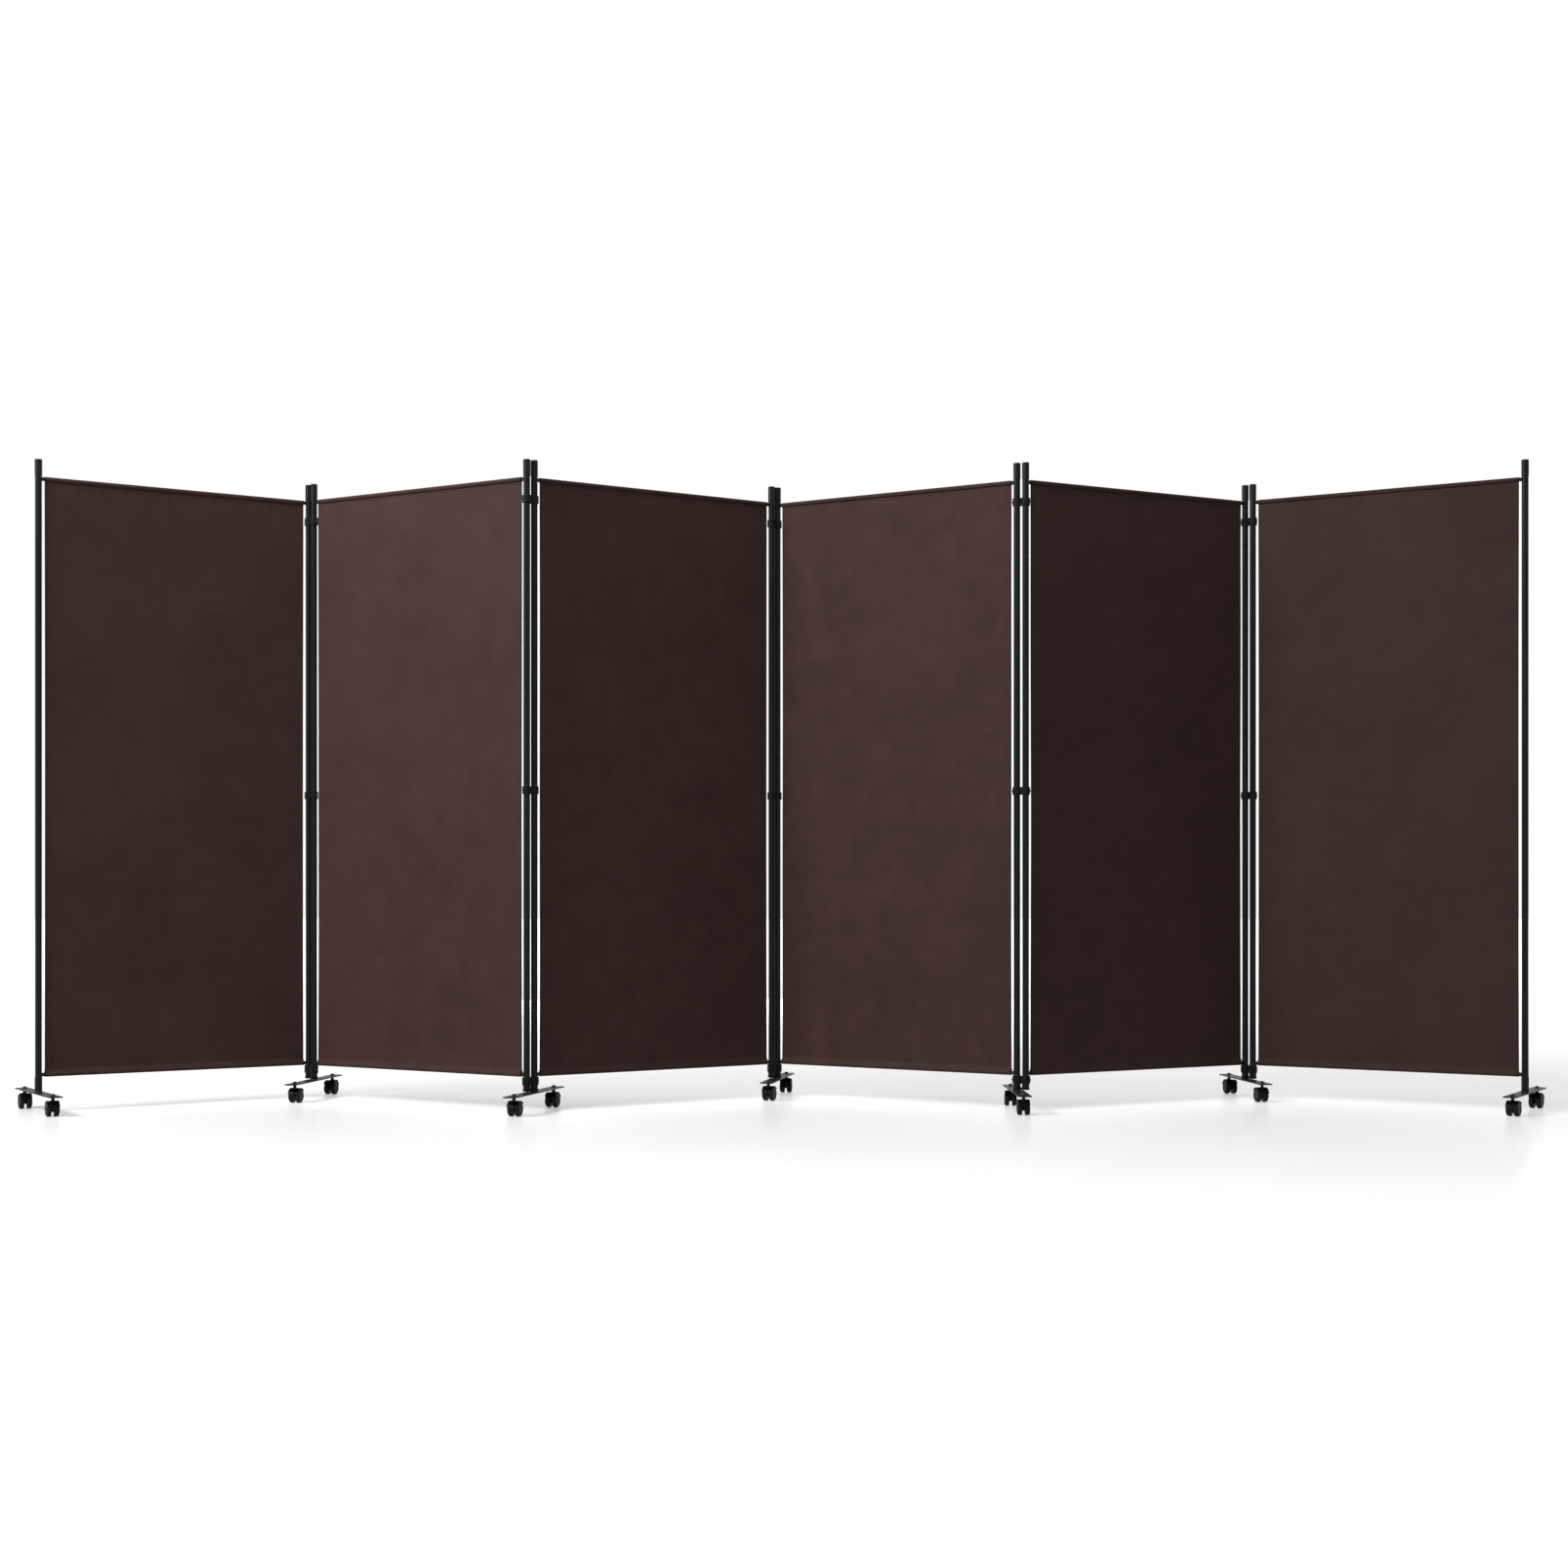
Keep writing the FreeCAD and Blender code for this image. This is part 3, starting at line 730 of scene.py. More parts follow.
def fitting_tree():
    """One fitting at every point of the host mesh, turned by its outward and forward directions."""
    tree = node_group("fittings", [("Fitting", "NodeSocketObject"), ("Finish", "NodeSocketMaterial")])
    given = tree.nodes.new("NodeGroupInput")
    part = wired(tree, "GeometryNodeObjectInfo", {"Object": given.outputs["Fitting"]})
    turn = None
    for name, axis, pivot in (("outward", "Z", "AUTO"), ("forward", "X", "Z")):
        way = wired(
            tree, "GeometryNodeInputNamedAttribute", {"Name": name}, data_type="FLOAT_VECTOR"
        )
        inputs = {"Vector": way.outputs[0]}
        if turn is not None:
            inputs["Rotation"] = turn
        turn = wired(
            tree, "FunctionNodeAlignRotationToVector", inputs, axis=axis, pivot_axis=pivot
        ).outputs[0]
    placed = wired(
        tree, "GeometryNodeInstanceOnPoints",
        {"Points": given.outputs["Geometry"], "Instance": part.outputs["Geometry"], "Rotation": turn},
    )
    real = wired(tree, "GeometryNodeRealizeInstances", {0: placed.outputs[0]})
    return finished(tree, real, given.outputs["Finish"])


def grown(host, tree, values):
    """The plain mesh that a geometry tree makes of a host object, which is then removed."""
    modifier = host.modifiers.new("grow", "NODES")
    modifier.node_group = tree
    for item in tree.interface.items_tree:
        if item.in_out == "INPUT" and item.name in values:
            modifier[item.identifier] = values[item.name]
    view = bpy.context.evaluated_depsgraph_get()
    mesh = bpy.data.meshes.new_from_object(host.evaluated_get(view))
    host.modifiers.remove(modifier)
    bpy.data.objects.remove(host, do_unlink=True)
    if not len(mesh.polygons):
        raise RuntimeError(f"{tree.name} made nothing")
    return mesh


def fittings(name, part, places, material):
    """Copies of a part at (place, outward, forward) places, as one plain mesh object."""
    host = bpy.data.meshes.new(name + "_places")
    host.from_pydata([tuple(place) for place, _, _ in places], [], [])
    for key, column in (("outward", 1), ("forward", 2)):
        layer = host.attributes.new(key, "FLOAT_VECTOR", "POINT")
        ways = np.array([row[column] for row in places], dtype=np.float32)
        layer.data.foreach_set("vector", ways.ravel())
    tree = bpy.data.node_groups.get("fittings") or fitting_tree()
    mesh = grown(new_object(name + "_host", host), tree, {"Fitting": part, "Finish": material})
    mesh.name = name
    return new_object(name, mesh)


class DIVIDER_OT_stitches(bpy.types.Operator):
    bl_idname = "divider.stitches"
    bl_label = "Seam stitches"

    def execute(self, context):
        cloth, stitches, _, _ = settings_of(context)
        tree = stitch_tree()
        material = thread_material(cloth)
        for number in range(1, PANELS + 1):
            shape = Cloth(Panel(number), cloth)
            points, edges = [], []
            for line in stitch_rows(shape, stitches):
                start = len(points)
                points += [tuple(point) for point in line]
                edges += [(start + k, start + k + 1) for k in range(len(line) - 1)]
            host = bpy.data.meshes.new(f"stitch_lines_{number}")
            host.from_pydata(points, edges, [])
            mesh = grown(
                new_object(f"stitch_host_{number}", host), tree,
                {"Pitch": stitches.pitch, "Half length": stitches.length / 2, "Radius": stitches.width / 2,
                 "Thread": material},
            )
            mesh.name = f"stitches_{number}"
            piece = new_object(f"stitches_{number}", mesh)
            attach(piece, f"panel_{number}")
            length = float(shape.along()[-1])
        return {"FINISHED"}


def stitch_rows(shape, stitches):
    """The lines that the thread follows on both faces of the cloth."""
    half = shape.cloth.thickness / 2
    lines = []
    for side in (-1, 1):
        for z in (shape.top_seam - stitches.seam_inset, shape.bottom_seam + stitches.seam_inset):
            u = np.arange(shape.near + SEAM_ROW_END, shape.far - SEAM_ROW_END, ROW_STEP)
            height = np.full_like(u, z)
            layer = shape.cloth.thickness * LAYER_STEP_SHARE if side > 0 else 0
            lift = side * half + layer
            lines.append(shape.panel.world(u, shape.stand_off(u, height) + lift, height))
        for u in (shape.near + stitches.hem_inset, shape.far - stitches.hem_inset):
            z = np.arange(shape.bottom_seam + HEM_ROW_END, shape.top_seam - HEM_ROW_END, ROW_STEP)
            place = np.full_like(z, u)
            swell = shape.behind(place, z) if side > 0 else 0
            lines.append(
                shape.panel.world(place, shape.stand_off(place, z) + side * half + swell, z)
            )
    return lines


def thread_material(cloth):
    """Twisted sewing thread, a little lighter than the cloth."""
    nodes = material_nodes("brown_thread")
    twist = nodes.noise(nodes.stretched(nodes.place(), (2600, 2600, 900)), 1.0, 2.0)
    colour = nodes.blend(twist, shade(cloth.thread_colour, 0.7), shade(cloth.thread_colour, 1.25))
    return nodes.finish(
        {
            "Base Color": colour,
            "Roughness": nodes.ranged(twist, 0.3, 0.7, 0.5, 0.7),
            "Sheen Weight": 0.2,
            "Normal": nodes.bump(twist, 0.5, 0.0001),
        }
    )


# Frames


def coat_material(hardware):
    """Satin black powder coat on the tubes, with moulded caps above and ferrules below."""
    nodes = material_nodes("black_tube_coat")
    place = nodes.place()
    height = nodes.add("ShaderNodeSeparateXYZ", {0: place}).outputs[2]
    peel = nodes.noise(place, 1500.0, 2.0)
    tone = nodes.noise(nodes.stretched(place, (30, 30, 3)), 1.0, 3.0)
    cap_low = START_BOX[1][2] - CAP_HEIGHT
    cap = nodes.ranged(height, cap_low - EDGE_BLUR, cap_low + EDGE_BLUR, 0.0, 1.0)
    low = nodes.ranged(height, FERRULE_TOP - EDGE_BLUR, FERRULE_TOP + EDGE_BLUR, 1.0, 0.0)
    moulded = nodes.math("MAXIMUM", cap, low)
    coat = nodes.blend(tone, shade(hardware.coat, 0.85), shade(hardware.coat, 1.2))
    grain = nodes.noise(place, 2600.0, 1.0)
    plastic = nodes.blend(grain, shade(hardware.moulded, 0.9), shade(hardware.moulded, 1.25))
    worn = nodes.math("MULTIPLY", peel, 0.1)
    rough = nodes.math("ADD", nodes.ranged(tone, 0.3, 0.7, 0.2, 0.28), worn)
    rough = nodes.math("ADD", rough, nodes.math("MULTIPLY", moulded, 0.08))
    return nodes.finish(
        {
            "Base Color": nodes.blend(moulded, coat, plastic),
            "Roughness": rough,
            "Specular IOR Level": hardware.coat_gloss,
            "Normal": nodes.bump(peel, 0.12, 0.0004),
        }
    )


class DIVIDER_OT_frames(bpy.types.Operator):
    """Coat the posts and rails and mould their caps"""

    bl_idname = "divider.frames"
    bl_label = "Posts, rails and caps"

    def execute(self, context):
        material = coat_material(settings_of(context)[2])
        for number in range(1, PANELS + 1):
            dressed(f"panel_{number}_frame", material)
        return {"FINISHED"}


def dressed(node, material):
    """A node of the frame takes a finish in each of its material slots."""
    obj = NODES[node]
    if not obj.material_slots:
        obj.data.materials.append(material)
    for slot in obj.material_slots:
        slot.material = material


def plastic_material(name, hardware, colour, rough, grain_size, grain_depth):
    """Moulded black plastic with a fine spark grain and a little handling shine."""
    nodes = material_nodes(name)
    place = nodes.place()
    grain = nodes.noise(place, 1 / grain_size, 2.0)
    tone = nodes.noise(place, 60.0, 3.0)
    base = nodes.blend(tone, shade(colour, 0.85), shade(colour, 1.3))
    return nodes.finish(
        {
            "Base Color": base,
            "Roughness": nodes.ranged(tone, 0.3, 0.7, rough - 0.06, rough + 0.07),
            "Specular IOR Level": hardware.moulded_gloss,
            "Normal": nodes.bump(grain, 0.35, grain_depth),
        }
    )


# Clips

# How far a screw's head is let into the clip's own, and the reach and height that find one
SCREW_SEAT = 0.0013
SCREW_TURN = (0.6, 0.0, 0.8)
TIP_DEPTH = 0.0004
LEVEL_GAP = 0.03
HEAD_RADIUS = 0.003

# A screw's recess: its reach and centre as shares of the head's radius, its depth as one of its height
RECESS_SHARE = 0.45
RECESS_MIDDLE_SHARE = 0.2
RECESS_DEPTH_SHARE = 0.5
RECESS_ARM = 0.85

# A fitting's edge that turns by more than this stays sharp
SHARP_TURN = math.radians(38)


def screw_mesh(hardware):
    """A domed screw head with a cross recess, its seat at the origin and Z outwards."""
    sides, radius, height = 24, hardware.screw_radius, hardware.screw_height
    dome_shares = [(1.0, 0.35), (0.93, 0.62), (0.78, 0.82), (0.55, 0.95)]
    middle_shares = [(RECESS_SHARE, 0.97), (RECESS_MIDDLE_SHARE, 1.0)]
    points = []
    for reach, rise in [(1.0, 0.0)] + dome_shares + middle_shares:
        for side in range(sides):
            turn = 2 * math.pi * side / sides
            arm = abs(math.cos(2 * turn)) > RECESS_ARM
            inside = reach <= RECESS_MIDDLE_SHARE or (arm and reach <= RECESS_SHARE)
            level = height * (rise - (RECESS_DEPTH_SHARE if inside else 0.0))
            points.append(on_ring(radius * reach, turn, level))
    return ringed("screw_head", points, sides, cap_first=True, cap_last=True)


def on_ring(radius, turn, level):
    """A point at this radius and turn about Z."""
    return radius * math.cos(turn), radius * math.sin(turn), level


def ringed(name, points, sides, cap_first=False, cap_last=False, closed=False):
    """A mesh of rings of points, its ends capped or joined to each other, facing outwards."""
    rings = len(points) // sides
    mesh = bpy.data.meshes.new(name)
    faces = []
    for ring in range(rings if closed else rings - 1):
        after = (ring + 1) % rings
        for side in range(sides):
            ends = (side, (side + 1) % sides)
            lower = [ring * sides + end for end in ends]
            upper = [after * sides + end for end in reversed(ends)]
            faces.append((*lower, *upper))
    if cap_first:
        faces.append(tuple(reversed(range(sides))))
    if cap_last:
        faces.append(tuple(range((rings - 1) * sides, rings * sides)))
    mesh.from_pydata(points, [], faces)
    build = bmesh.new()
    build.from_mesh(mesh)
    bmesh.ops.recalc_face_normals(build, faces=build.faces)
    build.to_mesh(mesh)
    build.free()
    mesh.polygons.foreach_set("use_smooth", [len(face.vertices) < 5 for face in mesh.polygons])
    mesh.set_sharp_from_angle(angle=SHARP_TURN)
    return mesh


def part_object(mesh):
    """A helper object that a fitting tree copies from."""
    return new_object(mesh.name + "_pattern", mesh)


class DIVIDER_OT_clips(bpy.types.Operator):
    """Finish the clips and ties and put a cross-head screw in each end of a clip"""

    bl_idname = "divider.clips"
    bl_label = "Clips and screws"

    def execute(self, context):
        hardware = settings_of(context)[2]
        black = hardware.moulded
        material = plastic_material("black_clip_plastic", hardware, black, 0.48, 0.0007, 0.00015)
        steel = steel_material("black_screw_steel")
        pattern = part_object(screw_mesh(hardware))
        for number in range(1, PANELS):
            node = f"clips_{number}_to_{number + 1}"
            dressed(node, material)
            places = clip_ends(number)
            piece = fittings(f"clip_screws_{number}", pattern, places, steel)
            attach(piece, node)
        bpy.data.objects.remove(pattern, do_unlink=True)
        return {"FINISHED"}


def clip_ends(number):
    """Seats of a joint's six screws, with their directions, from the clips' own heads."""
    node = f"clips_{number}_to_{number + 1}"
    held = [joint for joint in JOINTS.values() if node in (joint["parent"], joint["child"])]
    posts = [np.array(joint["pos_m"][:2]) for joint in held]
    middle = (posts[0] + posts[1]) / 2
    along = (posts[1] - posts[0]) / np.linalg.norm(posts[1] - posts[0])
    points = points_of(NODES[node])
    heights = points[:, 2]
    reach = np.abs((points[:, :2] - middle) @ along)
    heads = np.unique(np.round(heights[reach > reach.max() - TIP_DEPTH], 4))
    levels = np.split(heads, np.where(np.diff(heads) > LEVEL_GAP)[0] + 1)
    places = []
    for level in levels:
        height = (level[0] + level[-1]) / 2
        tip = reach[np.abs(heights - height) < HEAD_RADIUS].max()
        for side in (-1, 1):
            seat = middle + along * side * (tip - SCREW_SEAT)
            places.append(((*seat, height), (*(along * side), 0.0), SCREW_TURN))
    return places


def steel_material(name):
    """Blackened steel with a brushed grain."""
    nodes = material_nodes(name)
    place = nodes.place()
    brushed = nodes.noise(nodes.stretched(place, (700, 700, 4000)), 1.0, 2.0)
    colour = nodes.blend(brushed, (0.03, 0.03, 0.032), (0.075, 0.075, 0.078))
    return nodes.finish(
        {
            "Base Color": colour,
            "Metallic": 0.85,
            "Roughness": nodes.ranged(brushed, 0.3, 0.7, 0.32, 0.48),
            "Normal": nodes.bump(brushed, 0.2, 0.00008),
        }
    )


# Feet


# A lock nut's bore, height and lip, and its collar as a share of its hexagon's corners
NUT_BORE = 0.00306
NUT_HEIGHT = 0.0047
NUT_LIP = 0.0004
COLLAR_SHARE = 0.74

# How near the farthest point of a foot its plate's corners are
PLATE_CORNER = 0.01


def nut_mesh(hardware):
    """A lock nut: chamfered hexagon, round collar and open bore, its seat at the origin."""
    sides, corner = 36, hardware.nut_flats / math.sqrt(3)
    collar = corner * COLLAR_SHARE
    lip = (collar + NUT_BORE) / 2 + NUT_LIP
    chamfer = [(corner, 0.72), (corner * 0.9486, 0.9), (corner * 0.8772, 1.0)]
    top = [(collar, 1.0), (collar, 1.16), (lip, 1.26), (NUT_BORE, 1.22)]
    points = []
    for reach, rise in [(corner, 0.0), *chamfer, *top, (NUT_BORE, 0.0)]:
        for side in range(sides):
            turn = 2 * math.pi * side / sides
            fold = (turn + math.pi / 6) % (math.pi / 3) - math.pi / 6
            flat = corner * math.cos(math.pi / 6) / math.cos(math.pi / 6 - abs(fold))
            points.append(on_ring(min(flat, reach), turn, NUT_HEIGHT * rise))
    return ringed("lock_nut", points, sides, closed=True)


def plate_material(hardware):
    """Satin black plate: scuffed coat with fine scratches."""
    nodes = material_nodes("black_plate_coat")
    place = nodes.place()
    peel = nodes.noise(place, 900.0, 2.0)
    scuff = nodes.noise(place, 45.0, 5.0, 0.65)
    scratches = nodes.noise(nodes.stretched(place, (60, 1800, 60), (0, 0, 0.7)), 1.0, 3.0)
    fine = nodes.ranged(scratches, 0.62, 0.72, 0.0, 0.4)
    base = nodes.blend(scuff, shade(hardware.plate, 0.8), shade(hardware.plate, 1.4))
    base = nodes.blend(fine, base, shade(hardware.plate, 3.0))
    return nodes.finish(
        {
            "Base Color": base,
            "Roughness": nodes.ranged(scuff, 0.3, 0.7, 0.36, 0.48),
            "Specular IOR Level": hardware.plate_gloss,
            "Normal": nodes.bump(peel, 0.15, 0.0003),
        }
    )


def joint_place(name):
    """Where a joint stands."""
    return Vector(JOINTS[name]["pos_m"])


class DIVIDER_OT_feet(bpy.types.Operator):
    """Coat the plates and sockets and fit a lock nut over each caster's stem"""

    bl_idname = "divider.feet"
    bl_label = "Feet and nuts"

    def execute(self, context):
        hardware = settings_of(context)[2]
        material = plate_material(hardware)
        steel = steel_material("black_nut_steel")
        pattern = part_object(nut_mesh(hardware))
        for number in range(1, FEET + 1):
            node = f"foot_{number}"
            dressed(node, material)
            ends = [joint_place(f"caster_{number}_{end}_swivel") for end in ("front", "rear")]
            way = (ends[1] - ends[0]).normalized()
            plate_top = plate_height(node)
            places = [((end.x, end.y, plate_top), (0, 0, 1), tuple(way)) for end in ends]
            piece = fittings(f"stem_nuts_{number}", pattern, places, steel)
            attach(piece, node)
        bpy.data.objects.remove(pattern, do_unlink=True)
        return {"FINISHED"}


def plate_height(node):
    """The top of a foot's plate, from the level that its farthest corners reach."""
    points = points_of(NODES[node])
    middle = (points.min(axis=0) + points.max(axis=0)) / 2
    reach = np.linalg.norm(points[:, :2] - middle[:2], axis=1)
    return float(points[reach > reach.max() - PLATE_CORNER][:, 2].max())


# Casters


# A hub cap's height, and its seat from the middle of its pair of wheels
HUB_HEIGHT = 0.0013
HUB_SEAT = 0.0164

# The five windows of a hub cap, in its ring of forty sides, and the shares where their floor lies
WINDOW_EVERY = 8
WINDOW_BARS = (0, 1)
WINDOW_SHARES = (0.8, 0.5)
BAR_SHARE = 0.66

# A pedal's ribs: half their width and length, their height and tapered ends, and their places from the pin
RIBS = 4
RIB_HALF_WIDTH = 0.0006
RIB_HALF_LENGTH = 0.0056
RIB_HEIGHT = 0.0005
RIB_TAPER = 0.0004
RIB_START = 0.0098
RIB_PITCH = 0.0023
PEDAL_HALF_THICKNESS = 0.0015


def hub_mesh(hardware):
    """A wheel's hub cap: a raised middle, a groove and five shallow windows, Z outwards."""
    sides, radius = 40, hardware.hub_radius
    rim_shares = [(1.0, 0.0), (1.0, 0.5), (0.96, 0.62), (0.86, 0.64)]
    window_shares = [(reach, 0.34) for reach in WINDOW_SHARES]
    groove_shares = [(0.44, 0.64), (0.38, 0.7), (0.34, 0.5), (0.3, 0.5)]
    middle_shares = [(0.27, 1.0), (0.2, 1.12), (0.08, 1.16)]
    points = []
    for reach, rise in rim_shares + window_shares + groove_shares + middle_shares:
        for side in range(sides):
            bar = reach in WINDOW_SHARES and side % WINDOW_EVERY in WINDOW_BARS
            level = HUB_HEIGHT * (BAR_SHARE if bar else rise)
            points.append(on_ring(radius * reach, 2 * math.pi * side / sides, level))
    return ringed("hub_cap", points, sides, cap_first=True, cap_last=True)


def rib_mesh():
    """A low rounded rib across a brake pedal, along Y, its seat at the origin."""
    profile_shares = [(-1, 0), (-0.75, 0.7), (0, 1), (0.75, 0.7), (1, 0)]
    full = RIB_HALF_LENGTH - RIB_TAPER
    ends = [(-RIB_HALF_LENGTH, 0.3), (-full, 1.0), (full, 1.0), (RIB_HALF_LENGTH, 0.3)]
    points = []
    for y, tall in ends:
        points += [(x * RIB_HALF_WIDTH * tall, y, z * RIB_HEIGHT * tall) for x, z in profile_shares]
    return ringed("pedal_rib", points, len(profile_shares), cap_first=True, cap_last=True)


class DIVIDER_OT_casters(bpy.types.Operator):
    """Finish the housings, wheels and brake pedals, and fit hub caps and pedal ribs"""

    bl_idname = "divider.casters"
    bl_label = "Casters"

    def execute(self, context):
        hardware = settings_of(context)[2]
        black = hardware.moulded
        hub_black, pedal_black = shade(hardware.wheel, 1.6), shade(black, 1.4)
        housing = plastic_material("black_housing_plastic", hardware, black, 0.3, 0.0011, 0.00008)
        wheel = wheel_material(hardware)
        hub = plastic_material("black_hub_plastic", hardware, hub_black, 0.34, 0.0009, 0.00006)
        pedal = plastic_material("black_pedal_plastic", hardware, pedal_black, 0.42, 0.0006, 0.00012)
        cap, rib = part_object(hub_mesh(hardware)), part_object(rib_mesh())
        for number in range(1, FEET + 1):
            for end in ("front", "rear"):
                name = f"caster_{number}_{end}"
                dressed(name + "_housing", housing)
                dressed(name + "_wheels", wheel)
                roll = JOINTS[f"wheels_{number}_{end}_roll"]
                axle, way = Vector(roll["pos_m"]), Vector(roll["axis"]).normalized()
                sides = (-way, way)
                places = [(tuple(axle + side * HUB_SEAT), tuple(side), (0, 0, 1)) for side in sides]
                piece = fittings(f"hub_caps_{number}_{end}", cap, places, hub)
                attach(piece, f"wheels_{number}_{end}")
            dressed(f"caster_{number}_rear_brake", pedal)
            press = JOINTS[f"brake_{number}_press"]
            pin, across = Vector(press["pos_m"]), Vector(press["axis"]).normalized()
            forward = across.cross(UP)
            places = []
            for step in range(RIBS):
                seat = pin + forward * (RIB_START + RIB_PITCH * step) + UP * PEDAL_HALF_THICKNESS
                places.append((tuple(seat), (0, 0, 1), tuple(forward)))
            piece = fittings(f"pedal_ribs_{number}", rib, places, pedal)
            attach(piece, f"brake_{number}")
        for pattern in (cap, rib):
            bpy.data.objects.remove(pattern, do_unlink=True)
        return {"FINISHED"}


def wheel_material(hardware):
    """Hard nylon wheels: dusty scuffs and a fine turned grain."""
    nodes = material_nodes("black_wheel_nylon")
    place = nodes.place()
    grain = nodes.noise(place, 1300.0, 2.0)
    dust = nodes.noise(place, 120.0, 4.0, 0.7)
    dusty = nodes.ranged(dust, 0.45, 0.75, 0.0, 1.0)
    base = nodes.blend(dusty, hardware.wheel, shade(hardware.wheel, 2.0))
    return nodes.finish(
        {
            "Base Color": base,
            "Roughness": nodes.ranged(dust, 0.3, 0.7, 0.33, 0.5),
            "Specular IOR Level": hardware.moulded_gloss,
            "Normal": nodes.bump(grain, 0.3, 0.0001),
        }
    )


# Studio


# Half the floor's side, what the lamps face, how far the camera sees, and its frame's width in millimetres
FLOOR_REACH = 30.0
KEY_AIM = (0.2, 0.0, 0.9)
FILL_AIM = (0.3, -0.3, 0.0)
BACK_AIM = (0.0, 0.0, 0.9)
SIGHT = 200
FRAME_WIDTH = 36

# Between which places the floor's painted light changes: along the screen, to its front, past it, and far
# off; its glow evens out the lamps' falloff and lightens the shadow behind the screen
PAINTED_LIGHT_ACROSS = (-2.2, 2.2)
PAINTED_LIGHT_IN_FRONT = (-0.35, -2.2)
PAINTED_LIGHT_PAST = (-0.2, 0.3)
PAINTED_LIGHT_FAR_OFF = (2.6, 9.0)
FAR_PAINTED_LIGHT = 0.8
WHITE = (1.0, 1.0, 1.0, 1.0)


def floor_material(studio):
    """A white floor that keeps the screen's shadow and a faint reflection, and throws little light up; a glow
    seen only by the camera, mirrors and glass paints light on it, stronger to the right, well in front,
    behind the screen and far off.
    """
    nodes = material_nodes("white_floor")
    shown = seen_by(nodes)
    grain = nodes.noise(nodes.place(), 3.0, 3.0)
    tone = nodes.blend(grain, (0.78, 0.78, 0.78), (0.8, 0.8, 0.8))
    tone = nodes.blend(shown, [studio.floor_bounce] * 3, tone)
    matte = nodes.add("ShaderNodeBsdfDiffuse", {"Color": tone}).outputs[0]
    gloss = nodes.add("ShaderNodeBsdfGlossy", {"Roughness": studio.floor_roughness}).outputs[0]
    mixed = nodes.add("ShaderNodeMixShader", {0: studio.floor_sheen, 1: matte, 2: gloss}).outputs[0]
    parts = nodes.add("ShaderNodeSeparateXYZ", {0: nodes.place()})
    across, depth = parts.outputs[0], parts.outputs[1]
    reach = nodes.add("ShaderNodeVectorMath", {0: nodes.place()}, operation="LENGTH").outputs["Value"]
    # Painted light: the floor's glow is made stronger to the right, well in front, behind the screen and far
    # off
    level = nodes.ranged(across, *PAINTED_LIGHT_ACROSS, studio.painted_light_left, studio.painted_light_right)
    level = nodes.math("ADD", level, nodes.ranged(depth, *PAINTED_LIGHT_IN_FRONT, 0.0, studio.painted_light_front))
    past = {0: nodes.ranged(depth, *PAINTED_LIGHT_PAST, 0.0, 1.0), 2: level, 3: studio.painted_light_behind}
    level = nodes.add("ShaderNodeMix", past, data_type="FLOAT").outputs[0]
    level = nodes.math("ADD", level, nodes.ranged(reach, *PAINTED_LIGHT_FAR_OFF, 0.0, FAR_PAINTED_LIGHT))
    strength = nodes.math("MULTIPLY", shown, level)
    glow = nodes.add("ShaderNodeEmission", {"Color": WHITE, "Strength": strength}).outputs[0]
    return nodes.close(nodes.add("ShaderNodeAddShader", {0: mixed, 1: glow}))


def seen_by(nodes):
    """One for rays from the camera, a mirror or glass, and zero for light."""
    path = nodes.add("ShaderNodeLightPath")
    first = nodes.math("MAXIMUM", path.outputs["Is Camera Ray"], path.outputs["Is Glossy Ray"])
    return nodes.math("MAXIMUM", first, path.outputs["Is Transmission Ray"])


def white_room(studio):
    """The world: plain white to the camera, and a soft even light on the screen."""
    world = bpy.data.worlds.get("white_room") or bpy.data.worlds.new("white_room")
    bpy.context.scene.world = world
    nodes = Nodes(world, "ShaderNodeOutputWorld")
    light = nodes.add("ShaderNodeBackground", {0: WHITE, 1: studio.surround}).outputs[0]
    plain_white = nodes.add("ShaderNodeBackground", {0: WHITE}).outputs[0]
    nodes.close(nodes.add("ShaderNodeMixShader", {0: seen_by(nodes), 1: light, 2: plain_white}))


def lamp(name, place, target, size, power):
    """A square soft lamp that faces a target."""
    cleared(name)
    data = bpy.data.lights.new(name, "AREA")
    data.shape = "SQUARE"
    data.size = size
    data.energy = power
    obj = bpy.data.objects.new(name, data)
    bpy.context.scene.collection.objects.link(obj)
    obj.location = place
    obj.rotation_euler = (Vector(target) - Vector(place)).to_track_quat("-Z", "Y").to_euler()
    return obj


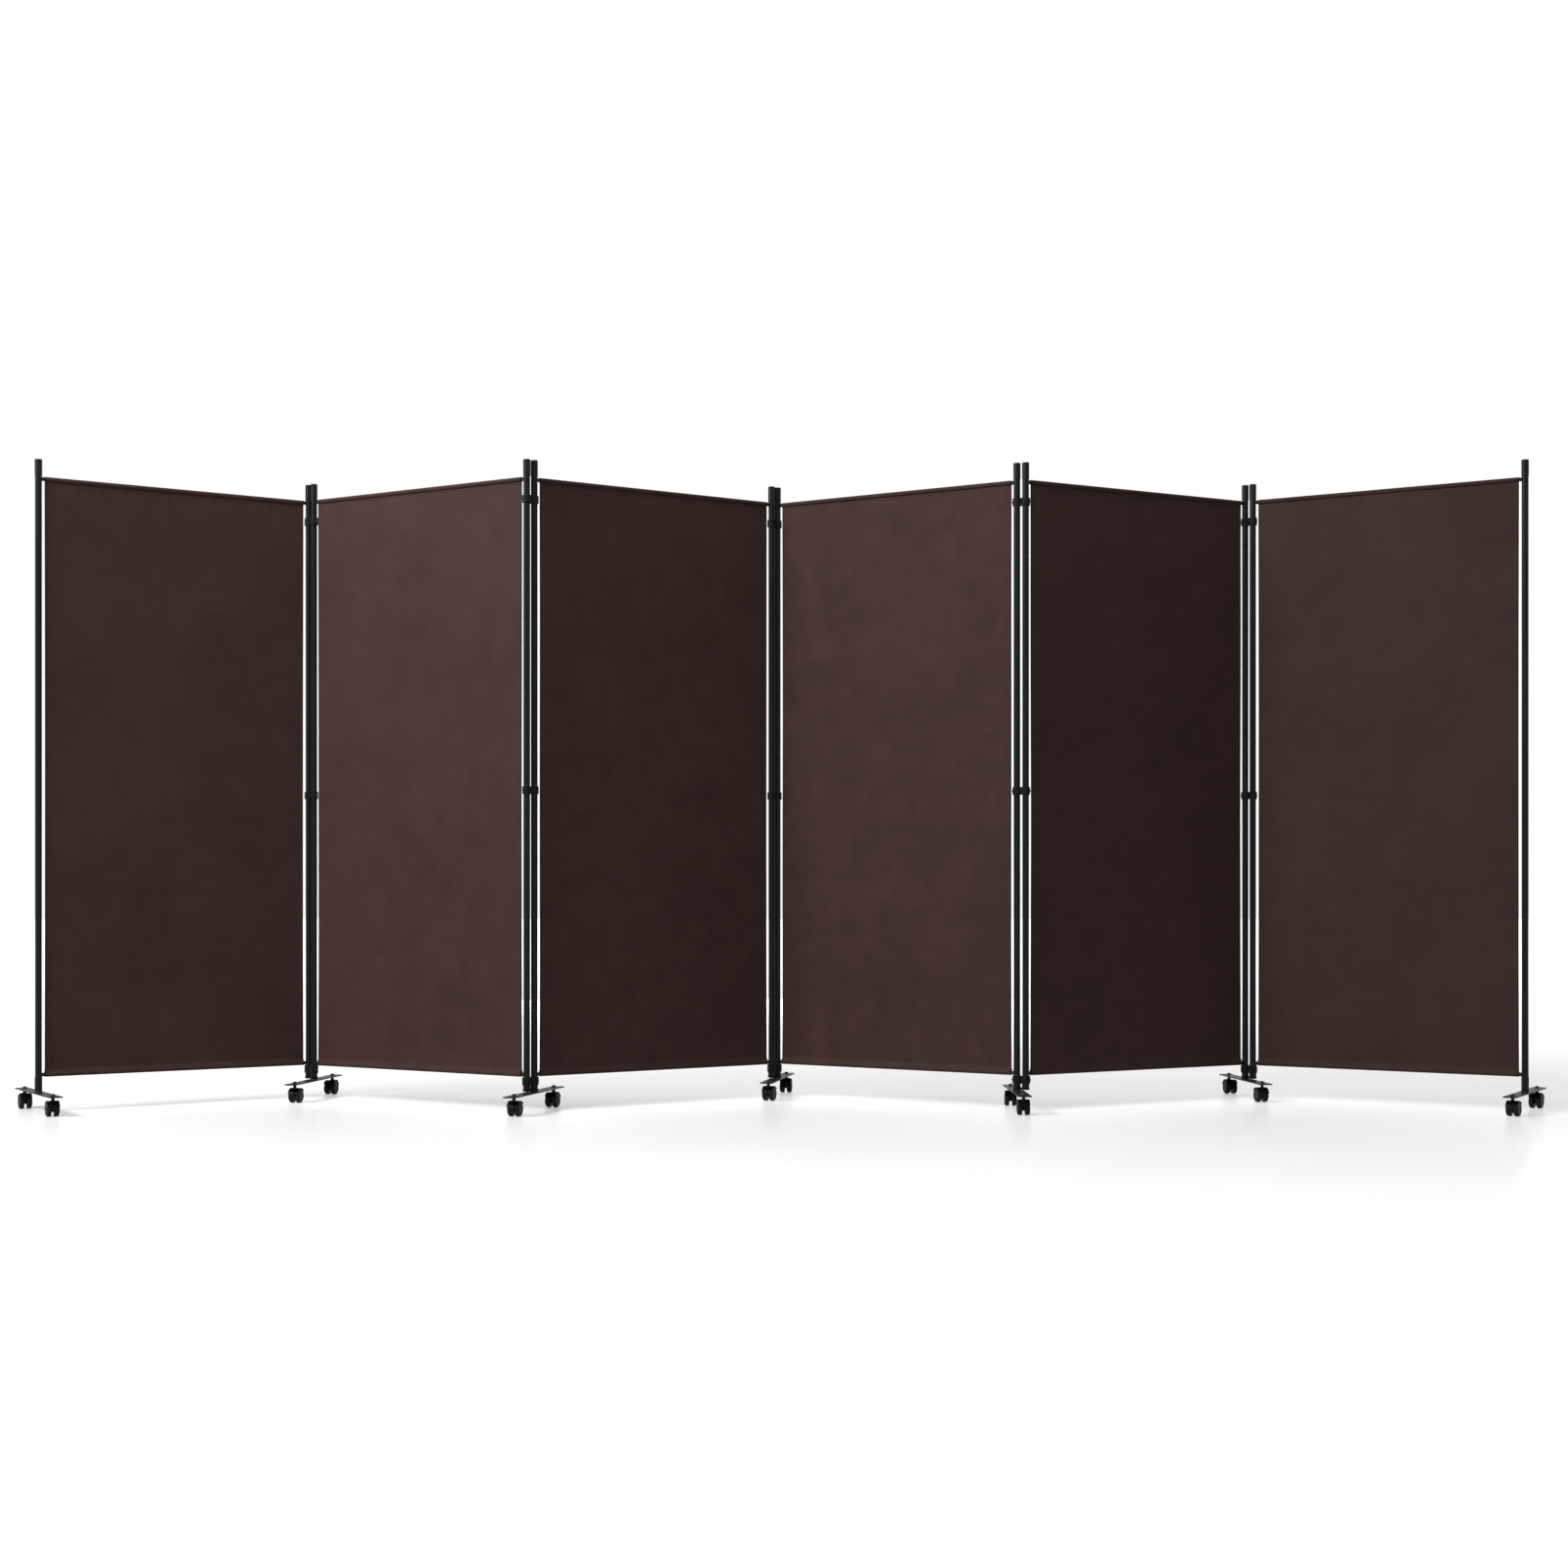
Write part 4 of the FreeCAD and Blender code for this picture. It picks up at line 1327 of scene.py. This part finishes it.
class DIVIDER_OT_studio(bpy.types.Operator):
    """Set the camera, the lamps, the floor and the white room"""

    bl_idname = "divider.studio"
    bl_label = "Studio"

    def execute(self, context):
        studio = settings_of(context)[3]
        scene = context.scene
        cleared("camera")
        camera = bpy.data.objects.new("camera", bpy.data.cameras.new("camera"))
        scene.collection.objects.link(camera)
        camera.location = studio.camera_place
        camera.rotation_euler = (math.pi / 2, 0, studio.camera_turn)
        camera.data.lens = studio.focal_length
        camera.data.sensor_width = FRAME_WIDTH
        camera.data.shift_y = studio.rise
        camera.data.clip_end = SIGHT
        scene.camera = camera
        floor = bpy.data.meshes.new("floor")
        corners = [(x * FLOOR_REACH, y * FLOOR_REACH, 0) for x, y in ((-1, -1), (1, -1), (1, 1), (-1, 1))]
        floor.from_pydata(corners, [], [(0, 1, 2, 3)])
        new_object("floor", floor, floor_material(studio))
        white_room(studio)
        lamp("key_lamp", studio.key_place, KEY_AIM, studio.key_size, studio.key_power)
        lamp("fill_lamp", studio.fill_place, FILL_AIM, studio.fill_size, studio.fill_power)
        back = lamp("back_lamp", studio.back_place, BACK_AIM, studio.back_size, studio.back_power)
        back.visible_glossy = False
        scene.view_settings.view_transform = "Standard"
        return {"FINISHED"}


# Panel in the sidebar


class DIVIDER_PT_screen(bpy.types.Panel):
    """Lists the steps and their settings in the 3D view's sidebar"""

    bl_label = "Folding privacy screen"
    bl_idname = "DIVIDER_PT_screen"
    bl_space_type = "VIEW_3D"
    bl_region_type = "UI"
    bl_category = "Screen"

    def draw(self, context):
        for operator in OPERATORS:
            self.layout.operator(operator.bl_idname)
        for group in settings_of(context):
            box = self.layout.box()
            for key in group.__annotations__:
                box.prop(group, key)


OPERATORS = (
    DIVIDER_OT_studio,
    DIVIDER_OT_cloth,
    DIVIDER_OT_stitches,
    DIVIDER_OT_frames,
    DIVIDER_OT_clips,
    DIVIDER_OT_feet,
    DIVIDER_OT_casters,
)
GROUPS = {
    "screen_cloth": ClothSettings,
    "screen_stitches": StitchSettings,
    "screen_hardware": HardwareSettings,
    "screen_studio": StudioSettings,
}


def register():
    """Register the settings, the steps and the panel."""
    for group in GROUPS.values():
        bpy.utils.register_class(group)
    for operator in OPERATORS:
        bpy.utils.register_class(operator)
    bpy.utils.register_class(DIVIDER_PT_screen)
    for name, group in GROUPS.items():
        setattr(bpy.types.Scene, name, PointerProperty(type=group))


def unregister():
    """Take everything off again, in the opposite order."""
    for name in reversed(GROUPS):
        delattr(bpy.types.Scene, name)
    bpy.utils.unregister_class(DIVIDER_PT_screen)
    for operator in reversed(OPERATORS):
        bpy.utils.unregister_class(operator)
    for group in reversed(GROUPS.values()):
        bpy.utils.unregister_class(group)


def main():
    """Make every piece in order."""
    register()
    bpy.ops.divider.studio()
    bpy.ops.divider.cloth()
    bpy.ops.divider.stitches()
    bpy.ops.divider.frames()
    bpy.ops.divider.clips()
    bpy.ops.divider.feet()
    bpy.ops.divider.casters()


if __name__ == "__main__":
    main()
